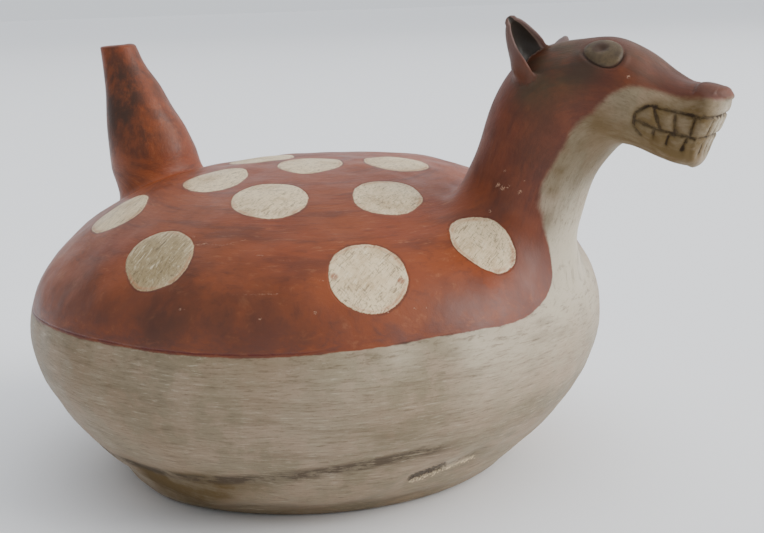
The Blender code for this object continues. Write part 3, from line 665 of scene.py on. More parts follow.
def pot_rows(size, angles, wall, shares, belly_count, places, flare_counts):
    """Rows from the spout over the belly and up the neck, on the skin or inside the wall."""
    spout_swing = 1.0 - swing_at(SPOUT_ROOT_SPREAD)
    neck_swing = swing_at(NECK_ROOT_SPREAD)

    def belly(swings):
        """Rows of the belly at these swings."""
        return belly_surface(size, swinging_circles(np.asarray(swings), angles), wall)

    spout = spout_surface(size, shares, angles, wall)
    middle = belly(np.linspace(spout_swing, neck_swing, belly_count))
    head = head_surface(size, places, angles, wall)
    spout_way = spout_surface(size, shares[-1:] + SMALL_STEP, angles, wall)[0] - spout[-1]
    off_spout = belly([spout_swing - SMALL_STEP])[0] - middle[0]
    onto_neck = middle[-1] - belly([neck_swing + SMALL_STEP])[0]
    neck_way = head_surface(size, [places[0] + SMALL_STEP], angles, wall)[0] - head[0]
    first = flare(spout[-1], spout_way, middle[0], off_spout, flare_counts[0])
    second = flare(middle[-1], onto_neck, head[0], neck_way, flare_counts[1])
    return spout, first, middle, second, head


def ring_angles(count):
    """Even angles round a ring, from 0."""
    return np.arange(count) * 2.0 * math.pi / count


def unit(vectors):
    """Each vector divided by its length."""
    return vectors / np.maximum(np.linalg.norm(vectors, axis=-1, keepdims=True), TINY)


def on_head(size, shares, hand):
    """Points at shares of the head's length from the neck's root, on one side."""
    root = belly_surface(size, lean(NECK_ROOT_LEAN), 0.0)
    return root + np.asarray(shares) * np.array([1.0, hand, 1.0]) * size.head_length


def ear_surface(size, rows, hand):
    """An ear from inside the head to its rounded tip.

    Each section is a flattened oval bent round half an ellipse that opens forwards: the spine lies
    at width times the sine and depth times the cosine of the bend, and the skin half a thickness
    off it.
    """
    share = np.linspace(0.0, 1.0, EAR_ROWS)
    last = len(rows) - 1.0
    stations = through(rows, share * last)
    ahead = through(rows, np.minimum(share * last + SMALL_STEP, last))
    behind = through(rows, np.maximum(share * last - SMALL_STEP, 0.0))
    turns = ring_angles(EAR_COLUMNS)
    power = 2.0 / EAR_EDGE_SQUARENESS
    bend = EAR_WRAP * np.sign(np.cos(turns)) * np.abs(np.cos(turns)) ** power
    skin = 0.5 * np.sign(np.sin(turns)) * np.abs(np.sin(turns)) ** power
    thickness = (size.ear_root + (size.ear_tip - size.ear_root) * share)[:, None]
    rise = unit(on_head(size, ahead[:, :3], hand) - on_head(size, behind[:, :3], hand))
    turn = np.radians(stations[:, 5])
    facing = np.stack([np.cos(turn), hand * np.sin(turn), np.zeros(EAR_ROWS)], axis=1)
    facing = unit(facing - rise * (facing * rise).sum(axis=1)[:, None])
    across = np.cross(rise, facing)
    width = stations[:, 3:4] * size.head_length
    depth = stations[:, 4:5] * size.head_length
    spine = np.stack([width * np.sin(bend), -depth * np.cos(bend)], axis=-1)
    off = unit(np.stack([depth * np.sin(bend), -width * np.cos(bend)], axis=-1))
    flat = spine + off * (thickness * skin)[..., None]
    centre = on_head(size, stations[:, :3], hand)[:, None]
    grid = centre + flat[..., :1] * across[:, None] + flat[..., 1:] * facing[:, None]
    over = np.radians((30.0, 60.0, 80.0))[:, None, None]
    middle = grid[-1].mean(axis=0)
    tip = middle + (grid[-1] - middle) * np.cos(over) + rise[-1] * size.ear_tip * np.sin(over)
    return np.concatenate([grid, tip])


def grid_faces(rows, columns, start):
    """Quads of a grid closed round its columns, facing outwards when the rows run forwards."""
    i = np.arange(rows - 1)[:, None] * columns
    j = np.arange(columns)[None]
    here = start + i + j
    beside = start + i + (j + 1) % columns
    return np.stack([here, here + columns, beside + columns, beside], axis=-1).reshape(-1, 4)


def pole_faces(ring, pole, columns):
    """Triangles from a ring's first vertex number to one pole, facing as the grid before it."""
    j = np.arange(columns)
    return np.stack([ring + j, np.full(columns, pole), ring + (j + 1) % columns], axis=-1)


def fan_faces(inner):
    """Joins the hollow's coarse first ring to the lip's finer one: four triangles and a quad."""
    ratio = SKIN_COLUMNS // HOLLOW_COLUMNS
    j = np.arange(HOLLOW_COLUMNS)[:, None]
    k = np.arange(-2, ratio - 3)[None]
    here, beside = ((j * ratio + k + step) % SKIN_COLUMNS for step in (0, 1))
    fans = np.stack([inner + j + 0 * k, here, beside], axis=-1).reshape(-1, 3)
    j = j[:, 0]
    left, right = ((j * ratio + ratio + step) % SKIN_COLUMNS for step in (-3, -2))
    quads = np.stack([inner + j, left, right, inner + (j + 1) % HOLLOW_COLUMNS], axis=-1)
    return fans, quads


def new_piece(name, points, quads, triangles):
    """Mesh object from arrays of points and faces, smooth, at the origin."""
    mesh = bpy.data.meshes.new(name)
    mesh.from_pydata(points.tolist(), [], quads.tolist() + triangles.tolist())
    mesh.validate()
    mesh.shade_smooth()
    piece = bpy.data.objects.new(name, mesh)
    bpy.context.scene.collection.objects.link(piece)
    return piece


def set_attribute(mesh, name, values):
    """Writes one number or one vector for each vertex."""
    kind, key = ("FLOAT", "value") if values.ndim == 1 else ("FLOAT_VECTOR", "vector")
    attribute = mesh.attributes.get(name) or mesh.attributes.new(name, kind, "POINT")
    attribute.data.foreach_set(key, np.ascontiguousarray(values, np.float32).ravel())


def get_attribute(mesh, name):
    """Reads one number or one vector for each vertex."""
    attribute = mesh.attributes[name]
    wide = 1 if attribute.data_type == "FLOAT" else 3
    values = np.empty(len(mesh.vertices) * wide, np.float32)
    attribute.data.foreach_get("value" if wide == 1 else "vector", values)
    return values.astype(float) if wide == 1 else values.astype(float).reshape(-1, 3)


def line_distance(points, line):
    """Least distance from each point to a line of straight stretches."""
    least = np.full(len(points), 1.0)
    for start, end in zip(line[:-1], line[1:]):
        stretch = end - start
        share = np.clip((points - start) @ stretch / (stretch @ stretch), 0.0, 1.0)
        near = np.linalg.norm(points - start - share[:, None] * stretch, axis=1)
        least = np.minimum(least, near)
    return least


def head_line(size, stations, hand, count):
    """Line on one side of the head through stations of place and angle in degrees."""
    run = through(stations, np.linspace(0.0, len(stations) - 1.0, count))
    index = np.arange(count)
    return head_surface(size, run[:, 0], hand * np.radians(run[:, 1]), 0.0)[index, index]


def front_height(size, degrees):
    """Height share on the edge of the muzzle's front at an angle."""
    power = head_sections(size, [MUZZLE_END])[3][0]
    c, s = abs(math.cos(math.radians(degrees))), abs(math.sin(math.radians(degrees)))
    return math.cos(math.radians(degrees)) * (c**power + s**power) ** (-1.0 / power)


def mouth_lines(size):
    """Grooves of the mouth: (line, depth, half width) of the lips and between the teeth."""
    lines = []
    for stations in (MIDDLE_LINE, UPPER_LINE):
        height = front_height(size, stations[-1][1])
        across = np.linspace(-1.0, 1.0, 17) * 0.995
        front = front_points(size, np.full(17, height), across)
        right, left = (head_line(size, stations, hand, 20) for hand in (-1.0, 1.0))
        lines.append((np.concatenate([right, front, left[::-1]]), *LIP_CUT))
    for gap in SIDE_GAPS:
        for hand in (-1.0, 1.0):
            lines.append((head_line(size, gap, hand, 5), *SIDE_CUT))
    bite = front_height(size, MIDDLE_LINE[-1][1])
    lip = front_height(size, UPPER_LINE[-1][1])
    for ends, sides in (((lip, bite), UPPER_FRONT_GAPS), ((bite, LOWER_GAP_END), LOWER_FRONT_GAPS)):
        for side in sides:
            gap = front_points(size, np.linspace(*ends, 5), np.full(5, side))
            lines.append((gap, *FRONT_CUT))
    return lines


def to_ball(points, ways, centre, radii):
    """How far along its way a point inside an ellipsoid lies from the ellipsoid's surface."""
    p = (points - centre) / radii
    w = ways / radii
    a = (w * w).sum(axis=-1)
    b = (p * w).sum(axis=-1)
    c = (p * p).sum(axis=-1) - 1.0
    reach = (-b + np.sqrt(np.maximum(b * b - a * c, 0.0))) / a
    return np.where(c < 0.0, reach, 0.0)


def eye_ring(place, turned):
    """Distance from the middle of the eye in shares of its size, across the skin."""
    return np.hypot((place - EYE_PLACE) / EYE_HALF_PLACES, (turned - EYE_ANGLE) / EYE_HALF_ANGLE)


def eye_relief(size, points, ring, turned):
    """Low discs in a groove that deepens downwards, with a lid below and a sunken pupil."""
    low = smooth(turned, EYE_ANGLE - EYE_HALF_ANGLE * 0.3, EYE_ANGLE + EYE_HALF_ANGLE * 0.4)
    relief = (EYE_DISC - EYE_DISC_FALL * ring**2) * (1.0 - smooth(ring, 0.84, 0.98))
    relief -= (EYE_GROOVE + EYE_GROOVE_LOW * low) * bump(ring, 1.00, 0.075)
    relief += low * band(ring, EYE_LID)
    for hand in (-1.0, 1.0):
        pupil = head_line(size, (PUPIL, (PUPIL[0] + 0.06, PUPIL[1])), hand, 2)
        relief += band(line_distance(points, pupil), PUPIL_HOLLOW)
    return relief, bump(ring, 1.00, 0.055) * (0.15 + 0.85 * low)


def mouth_relief(size, points):
    """Grooves of the mouth, rounded teeth, and the distance to a groove in line widths."""
    cut = np.zeros(len(points))
    least = np.full(len(points), MOUTH_FAR)
    for line, depth, width in mouth_lines(size):
        away = line_distance(points, line)
        cut = np.maximum(cut, depth * bump(away, 0.0, width) + band(away, TOOTH_ROUNDING))
        least = np.minimum(least, away / width)
    return -cut, least


def nose_relief(size, points, ways, place, turned):
    """The nose pad's reach, the stepped front of the muzzle, its bridge and the nick behind it."""
    centre = on_head(size, NOSE_PLACE, 1.0)
    pad = to_ball(points, ways, centre, np.array(NOSE_SIZE) * size.head_length)
    pad = np.where(place > 9.0, np.minimum(pad, NOSE_PAD_LIMIT), 0.0)
    x, _, z = points.T
    top = smooth(z, 0.1392, 0.1415)
    front = np.interp(z, *FRONT_STEPS) * (1.0 - top) * smooth(place, 10.9, 12.0)
    front += (0.0014 - 0.0021 * smooth(x, 0.1475, 0.1580)) * top * smooth(place, 9.8, 11.4)
    bridge = sum(band(x, swell) for swell in BRIDGE_SWELLS)
    nick = band(x, NOSE_NICK) * smooth(z, 0.1400, 0.1420)
    return pad + front - bridge * (1.0 - smooth(turned, 0.9, 1.5)) + nick


def head_relief(size, points, ways, place, turned):
    """Relief of the head, darkness of the eyes' edges, and distance to the mouth in line widths.

    Each groove is a bell curve of the distance to its line, the eyes are low discs in a ring, the
    nose pad is the ellipsoid's reach, and the muzzle's front stands off by a table of heights.
    """
    relief, dark = eye_relief(size, points, eye_ring(place, turned), turned)
    muzzle = place > MOUTH_START
    mouth = np.full(len(points), MOUTH_FAR)
    cut, mouth[muzzle] = mouth_relief(size, points[muzzle])
    relief[muzzle] += cut
    return relief + nose_relief(size, points, ways, place, turned), dark, mouth


def paint_edge(points, place, turned, radius):
    """Signed distance to the edge between the slips, above 0 where the slip is red.

    On the belly it is the lesser of the rise over the side line and the distance beside the bare
    chest, with an elliptical corner between them: one less the root of a^2 + b^2, over its slope.
    """
    x, y, z = points.T
    above = z - np.interp(azimuth(points), *PAINT_LEVEL)
    before = (x - NECK_LINE_X) * NECK_LINE_WAY[0] - (z - NECK_LINE_Z) * NECK_LINE_WAY[1]
    right, left = (np.interp(z, PAINT_BESIDE[0], reach) for reach in PAINT_BESIDE[1:])
    beside = np.where(y < 0.0, -y - right, y - left) + 3.0 * np.maximum(0.0, -before)
    a, b = np.maximum(1.0 - above / CORNER[0], 0.0), np.maximum(1.0 - beside / CORNER[1], 0.0)
    out = np.hypot(a, b)
    slope = np.hypot(a / CORNER[0], b / CORNER[1]) / np.maximum(out, TINY)
    belly = np.where(out < TINY, np.minimum(above, beside), (1.0 - out) / np.maximum(slope, 1.0))
    head = (np.radians(np.interp(place, *PAINT_ON_HEAD)) - turned) * radius
    front = smooth(place, MUZZLE_END - 0.1, MUZZLE_END + 0.15)
    head = head * (1.0 - front) + (z - FRONT_PAINT_LEVEL) * front
    mixed = smooth(place, 0.4, 1.5)
    return belly * (1.0 - mixed) + head * mixed


def spot_edge(points, ways):
    """Signed distance to the edge of the nearest spot, above 0 inside a spot.

    A spot is an ellipse on the skin: the root of (along / long)^2 + (aside / short)^2, with along
    turned from the level line through its middle, in the plane that touches the skin there.
    """
    best = np.full(len(points), -1.0)
    for number, (x, y, z, longer, shorter, turn) in enumerate(SPOTS):
        off = points * 1000.0 - (x, y, z)
        out = ways[np.argmin((off**2).sum(axis=1))]
        level = unit(np.cross((0.0, 0.0, 1.0), out))
        uphill = np.cross(out, level)
        c, s = math.cos(math.radians(turn)), math.sin(math.radians(turn))
        along, aside = off @ (c * level + s * uphill), off @ (c * uphill - s * level)
        around = np.arctan2(aside, along)
        uneven = 1.0 + 0.02 * np.sin(2.0 * around + number)
        uneven += 0.014 * np.sin(5.0 * around + 2.0 * number)
        deep = off @ out / SPOT_DEPTH
        share = np.sqrt((along / longer) ** 2 + (aside / shorter) ** 2 + deep**2)
        best = np.maximum(best, (uneven - share) * shorter * 0.001)
    return best


def pot_skin(size):
    """The outer skin as a grid with its relief, and the place and angle of every point.

    Places count the head's sections, below 0 on the belly and the spout, and above the last one
    across the front of the muzzle.
    """
    angles = ring_angles(SKIN_COLUMNS)
    shares = np.linspace(LIP_SHARE, SPOUT_FREE_SHARE, SPOUT_ROWS)
    neck = np.linspace(0.0, CHEEK, NECK_ROWS)[:-1]
    places = np.concatenate([neck, np.linspace(CHEEK, MUZZLE_END, HEAD_ROWS)])
    stretches = pot_rows(size, angles, 0.0, shares, BELLY_ROWS, places, FLARE_ROWS)
    lip = lip_surface(size, np.linspace(0.0, math.pi, LIP_ROWS), angles)[:-1]
    narrowing = 1.0 - np.linspace(0.0, 1.0, FRONT_ROWS + 1)[1:] ** FRONT_CROWDING
    front = front_surface(size, narrowing[:-1], angles)
    before = len(lip) + sum(len(stretch) for stretch in stretches[:3])
    place = np.concatenate([
        np.full(before, -1.0),
        np.linspace(-1.0, 0.0, FLARE_ROWS[1] + 2)[1:-1],
        places,
        MUZZLE_END + 1.0 - narrowing[:-1],
    ])
    return np.concatenate([lip, *stretches, front]), place


def pot_hollow(size):
    """The inner skin from the bore to its domed end in the neck, and the end's middle."""
    angles = ring_angles(HOLLOW_COLUMNS)
    spout, belly, neck = HOLLOW_ROWS
    shares = np.linspace(HOLLOW_START, SPOUT_FREE_SHARE, spout)
    places = np.linspace(0.0, NECK_HOLLOW_END, neck)
    rows = pot_rows(size, angles, size.wall, shares, belly, places, HOLLOW_FLARE_ROWS)
    rows = np.concatenate(rows)
    last = rows[-1]
    middle = last.mean(axis=0)
    up = unit(middle - rows[-2].mean(axis=0)) * NECK_HOLLOW_DOME
    turns = np.radians((30.0, 60.0))[:, None, None]
    dome = middle + (last - middle) * np.cos(turns) + up * np.sin(turns)
    return np.concatenate([rows, dome]), middle + up


def grid_ways(rows):
    """Unit normals of a closed grid: its difference along times its difference around."""
    along = np.gradient(rows, axis=0)
    around = np.roll(rows, -1, axis=1) - np.roll(rows, 1, axis=1)
    return unit(np.cross(along, around))


def belly_relief(points):
    """How far the belly stands off its even shape.

    Bell curves make the waist and the swell above the foot, the chest, the dent and the broad
    swells and hollows, and waves make the hand-made unevenness.
    """
    x, y, z = points.T
    grounded = smooth(z, 0.0, 0.004)
    above = crease_level(points)
    turned = np.abs(azimuth(points))
    creased = smooth(np.hypot(x, y), 0.060, 0.078) * grounded
    creased *= smooth(turned, 30.0, 46.0) * (1.0 - smooth(turned, 94.0, 116.0))
    relief = (band(above, WAIST) + band(above, FOOT_SWELL)) * creased
    relief += band(z, CHEST_HOLLOW) * smooth(x, 0.055, 0.085)
    relief += band(z, CHEST_SWELL) * smooth(x, 0.070, 0.095)
    relief += band(line_distance(points, np.array(DENT) * 0.001), DENT_BAND)
    for place, reach, height in SWELLS:
        relief += height * bump(distance(points, np.array(place) * 0.001), 0.0, reach)
    rough = sum(height * waves(points, *rest) for height, *rest in BODY_WAVES)
    height, *rest = FOOT_WAVES
    rough += height * waves(points * (1.0, 1.0, 3.0), *rest) * bump(z, 0.010, 0.012)
    return relief + rough * grounded


def push_foot_lip(points):
    """Pushes the foot's edge outwards in one place, most at the ground."""
    away = np.hypot(points[:, 0], points[:, 1])
    apart = np.radians(azimuth(points)) - FOOT_LIP_AZIMUTH
    apart = (apart + math.pi) % (2.0 * math.pi) - math.pi
    push = FOOT_LIP_REACH * bump(apart, 0.0, FOOT_LIP_SPREAD)
    push -= FOOT_FRONT_DRAWN_IN * smooth(points[:, 0], 0.005, 0.055)
    push *= (1.0 - smooth(points[:, 2], 0.0025, 0.0090)) * smooth(away, 0.045, 0.074)
    return points + unit(points * (1.0, 1.0, 0.0)) * push[:, None]


def cloud(points, patches):
    """Sum of soft round patches, at most 1."""
    total = np.zeros(len(points))
    for *place, reach, strength in patches:
        total += strength * bump(distance(points * 1000.0, place), 0.0, reach)
    return np.minimum(total, 1.0)


def crease_level(points):
    """Height of each point over the crease that runs round above the foot, darkened with dirt and
    painted shade.
    """
    return points[:, 2] - np.interp(azimuth(points), *CREASE_LEVEL)


def cut_line(points):
    """Marks along the slip's edge by azimuth: up to 1 the cracks in it, above 1 the cut line."""
    turned = np.abs(azimuth(points))
    return smooth(turned, 28.0, 38.0) + smooth(turned, 50.0, 66.0)


def strokes(rows, radius):
    """Coordinates drawn out along the burnishing strokes, on the belly and along neck and head.

    On the body they are the point's own, narrowed along the strokes and sinking outwards on the
    crown. On the neck they are the way along its middle and the point's place round it.
    """
    points = rows.reshape(-1, 3)
    steps = np.linalg.norm(np.diff(rows.mean(axis=1), axis=0), axis=1)
    along = np.repeat(np.concatenate([[0.0], np.cumsum(steps)]), rows.shape[1])
    angles = np.tile(ring_angles(rows.shape[1]), len(rows))
    body = points * BODY_STROKE
    crown = smooth(points[:, 2], 0.06, 0.11)
    body[:, 2] += 0.35 * np.hypot(points[:, 0], points[:, 1]) * -crown
    spout = (smooth(points[:, 2], 0.104, 0.118) * (points[:, 0] < -0.05))[:, None]
    body = body * (1.0 - spout) + (points * SPOUT_STROKE + SPOUT_STROKE_START) * spout
    round_about = [radius * np.cos(angles), radius * np.sin(angles)]
    return body, np.stack([along * NECK_STROKE, *round_about], axis=1)


def paint_mesh(mesh, painted, plain):
    """Writes the painting: worked out for the first vertices, and one value for the rest."""
    count = len(mesh.vertices)
    for name in PAINTED:
        values = np.full((count, 3) if name in STROKES else count, plain.get(name, 0.0))
        if name in painted:
            values[:len(painted[name])] = painted[name]
        set_attribute(mesh, name, values)
    set_attribute(mesh, "kept", np.ones(count))


def skin_relief(size, points, ways, place, turned):
    """How far the whole skin stands off, with the eyes' darkness and the way to the mouth."""
    relief, dark = np.zeros(len(points)), np.zeros(len(points))
    mouth = np.full(len(points), MOUTH_FAR)
    head = place > 0.0
    relief[head], dark[head], mouth[head] = head_relief(
        size, points[head], ways[head], place[head], turned[head])
    body = smooth(-place, -0.4, 0.8)
    body *= smooth(np.hypot(points[:, 0] - SPOUT_ROOT_X, points[:, 1]), 0.018, 0.030)
    body = np.maximum(body, 1.0 - smooth(points[:, 2], 0.10, 0.112))
    body *= 1.0 - smooth(place, 0.0, 1.0)
    relief += body * belly_relief(points)
    middle, reach, depth = SPOUT_WAIST
    relief -= depth * bump(distance(points, middle), 0.0, reach) * (place < 0.0)
    height, *rest = SLIM_WAVES
    off_edge = smooth(np.abs(place - MUZZLE_END - 1.0), 0.0, 2.0)
    return relief + height * waves(points, *rest) * (1.0 - body) * off_edge, dark, mouth


def close_skin(rows, hollow):
    """Faces of the outer grid, the lip's joint to the hollow, and both closed ends."""
    columns = rows.shape[1]
    count = len(rows) * columns
    inner = count + 1
    last = inner + len(hollow) * HOLLOW_COLUMNS
    fans, joint = fan_faces(inner)
    quads = np.concatenate([
        grid_faces(len(rows), columns, 0),
        joint,
        grid_faces(len(hollow), HOLLOW_COLUMNS, inner)[:, ::-1],
    ])
    triangles = np.concatenate([
        fans,
        pole_faces(count - columns, count, columns),
        pole_faces(last - HOLLOW_COLUMNS, last, HOLLOW_COLUMNS)[:, ::-1],
    ])
    return quads, triangles


def make_skin(size):
    """The pot's body, spout, neck and head as one closed mesh with its painting as attributes."""
    rows, row_place = pot_skin(size)
    columns = rows.shape[1]
    even = rows.reshape(-1, 3)
    ways = grid_ways(rows).reshape(-1, 3)
    place = np.repeat(row_place, columns)
    angle = np.tile(ring_angles(columns), len(rows))
    turned = np.minimum(angle, 2.0 * math.pi - angle)
    radius = np.linalg.norm(rows - rows.mean(axis=1)[:, None], axis=2).ravel()
    relief, dark, mouth = skin_relief(size, even, ways, place, turned)
    points = push_foot_lip(even + ways * relief[:, None])
    points[:, 2] = np.maximum(points[:, 2], 0.0)
    hollow, end = pot_hollow(size)
    front = points[-columns:].mean(axis=0)
    everything = np.concatenate([points, [front], hollow.reshape(-1, 3), [end]])
    piece = new_piece(PIECE, everything, *close_skin(rows, hollow))
    ring = np.where(place > 0.0, eye_ring(place, turned), 3.0)
    body_strokes, neck_strokes = strokes(rows, radius)
    painted = {
        "paint": paint_edge(even, place, turned, radius) * 1000.0,
        "spot": spot_edge(points, ways) * 1000.0,
        "dark": dark,
        "mouth": mouth,
        "lined": cut_line(points) * (place < 0.0),
        "eye": (0.95 - np.minimum(ring, 3.0)) * 8.0,
        "head": smooth(place, 1.0, 4.0),
        "neck": smooth(place, -0.6, 0.3),
        "soot": cloud(points, SOOT),
        "stain": cloud(points, STAIN),
        # pale patches: paler slip, and painted light on the chest, the muzzle's front and the lower
        # right flank
        "pale": cloud(points, PALE_AND_LIT),
        "crease": crease_level(points) * 1000.0,
        "stroke_body": body_strokes,
        "stroke_neck": neck_strokes,
        "inside": np.zeros(len(points) + 1),
    }
    paint_mesh(piece.data, painted, HOLLOW_PAINT)
    return piece


def make_ear(size, name, rows, hand):
    """One ear as a closed mesh of its own, with the painting of its back and its cup."""
    grid = ear_surface(size, rows, hand)
    points = grid.reshape(-1, 3)
    ends = np.stack([grid[0].mean(axis=0), grid[-1].mean(axis=0)])
    everything = np.concatenate([points, ends])
    count = len(points)
    quads = grid_faces(len(grid), EAR_COLUMNS, 0)
    root = pole_faces(0, count, EAR_COLUMNS)[:, ::-1]
    tip = pole_faces(count - EAR_COLUMNS, count + 1, EAR_COLUMNS)
    triangles = np.concatenate([root, tip])
    corners = everything[np.concatenate([quads[:, :3], quads[:, (0, 2, 3)], triangles])]
    volume = np.einsum("ij,ij->i", corners[:, 0], np.cross(corners[:, 1], corners[:, 2])).sum()
    if volume < 0.0:
        quads, triangles = quads[:, ::-1], triangles[:, ::-1]
    piece = new_piece(name, everything, quads, triangles)
    turns = np.tile(ring_angles(EAR_COLUMNS), len(grid))
    cup = smooth(-np.sin(turns), 0.20, 0.60) * smooth(0.96 - np.abs(np.cos(turns)), 0.0, 0.26)
    row = np.repeat(np.arange(len(grid)), EAR_COLUMNS)
    worn = EAR_WORN * smooth(row / (len(grid) - 1.0), 0.15, 0.6)
    along = row * EAR_STROKE_STEP
    painted = {
        "cup": np.concatenate([np.maximum(cup, worn), [0.0, EAR_WORN]]),
        "stroke_body": everything,
        "stroke_neck": np.concatenate([
            np.stack([along, points[:, 0], points[:, 1]], axis=1), ends]),
    }
    paint_mesh(piece.data, painted, EAR_PAINT)
    return piece


def join_ears(pot, ears):
    """Unites the ears with the head and returns the new mesh; the seams get kept = 0."""
    for ear in ears:
        modifier = pot.modifiers.new("ear", "BOOLEAN")
        modifier.operation = "UNION"
        modifier.solver = "MANIFOLD"
        modifier.object = ear
    graph = bpy.context.evaluated_depsgraph_get()
    mesh = bpy.data.meshes.new_from_object(pot.evaluated_get(graph))
    pot.modifiers.clear()
    pot.data = mesh
    for ear in ears:
        bpy.data.objects.remove(ear)
    return mesh


def mesh_edges(mesh):
    """Vertex numbers of both ends of each edge."""
    edges = np.empty(len(mesh.edges) * 2, np.int32)
    mesh.edges.foreach_get("vertices", edges)
    return edges.reshape(-1, 2)


def neighbour_mean(values, edges, count):
    """Mean of the values at the other ends of each vertex's edges."""
    total = np.zeros((count,) + values.shape[1:])
    number = np.zeros(count)
    for here, there in ((0, 1), (1, 0)):
        np.add.at(total, edges[:, here], values[edges[:, there]])
        np.add.at(number, edges[:, here], 1.0)
    number = np.maximum(number, 1.0)
    return total / (number if values.ndim == 1 else number[:, None])


def soften_seams(mesh):
    """Draws each point near an ear's seam to the mean of its neighbours, most at the seam."""
    count = len(mesh.vertices)
    points = np.empty(count * 3, np.float32)
    mesh.vertices.foreach_get("co", points)
    points = points.reshape(-1, 3).astype(float)
    kept = get_attribute(mesh, "kept")
    seam = points[kept < 0.999]
    if not len(seam):
        raise RuntimeError("The ears have not met the head")
    near = np.nonzero(np.abs(points - seam.mean(axis=0)).max(axis=1) < SEAM_AREA)[0]
    least = np.full(count, 1.0)
    for chunk in np.array_split(seam, max(1, len(seam) // 64)):
        away = np.linalg.norm(points[near][:, None] - chunk[None], axis=2).min(axis=1)
        least[near] = np.minimum(least[near], away)
    weight = (1.0 - smooth(least, SEAM_CORE, SEAM_REACH))[:, None]
    edges = mesh_edges(mesh)
    edges = edges[(weight[edges, 0] > 0.0).any(axis=1)]
    for _ in range(SEAM_ROUNDS):
        mean = neighbour_mean(points, edges, count)
        moving = weight * (np.abs(mean).sum(axis=1, keepdims=True) > 0.0)
        points += 0.5 * moving * (mean - points)
    mesh.vertices.foreach_set("co", points.astype(np.float32).ravel())
    return kept


def fill_new_points(mesh, kept):
    """Gives the seam's new points the mean painting of the neighbours that had one."""
    edges = mesh_edges(mesh)
    fresh = kept < 0.999
    old = (~fresh).astype(float)
    for _ in range(3):
        share = neighbour_mean(old, edges, len(old))
        ready = fresh & (share > 0.0)
        for name in PAINTED:
            values = get_attribute(mesh, name)
            wide = old if values.ndim == 1 else old[:, None]
            mean = neighbour_mean(values * wide, edges, len(old))
            part = share if values.ndim == 1 else share[:, None]
            values[ready] = mean[ready] / part[ready]
            set_attribute(mesh, name, values)
        old[ready] = 1.0
        fresh = fresh & ~ready
    mesh.attributes.remove(mesh.attributes["kept"])


def linear(red, green, blue):
    """Scene-linear colour from the 0 to 255 values of a colour as it shows on a screen."""
    return tuple(((value / 255.0 + 0.055) / 1.055) ** 2.4 for value in (red, green, blue))


def worked(operation, swapped=False):
    """Method of Value for one operation; swapped puts the other number first."""
    def method(self, other):
        """Adds the maths node."""
        pair = (other, self) if swapped else (self, other)
        return self.finish.math(operation, *pair)
    return method


class Value:
    """Result of a shader node, which adds up, multiplies and divides like a plain number."""

    def __init__(self, finish, socket):
        self.finish, self.socket = finish, socket

    __add__ = __radd__ = worked("ADD")
    __mul__ = __rmul__ = worked("MULTIPLY")
    __sub__, __rsub__ = worked("SUBTRACT"), worked("SUBTRACT", swapped=True)
    __truediv__ = worked("DIVIDE")

    def __abs__(self):
        """Distance from 0."""
        return self.finish.math("ABSOLUTE", self)


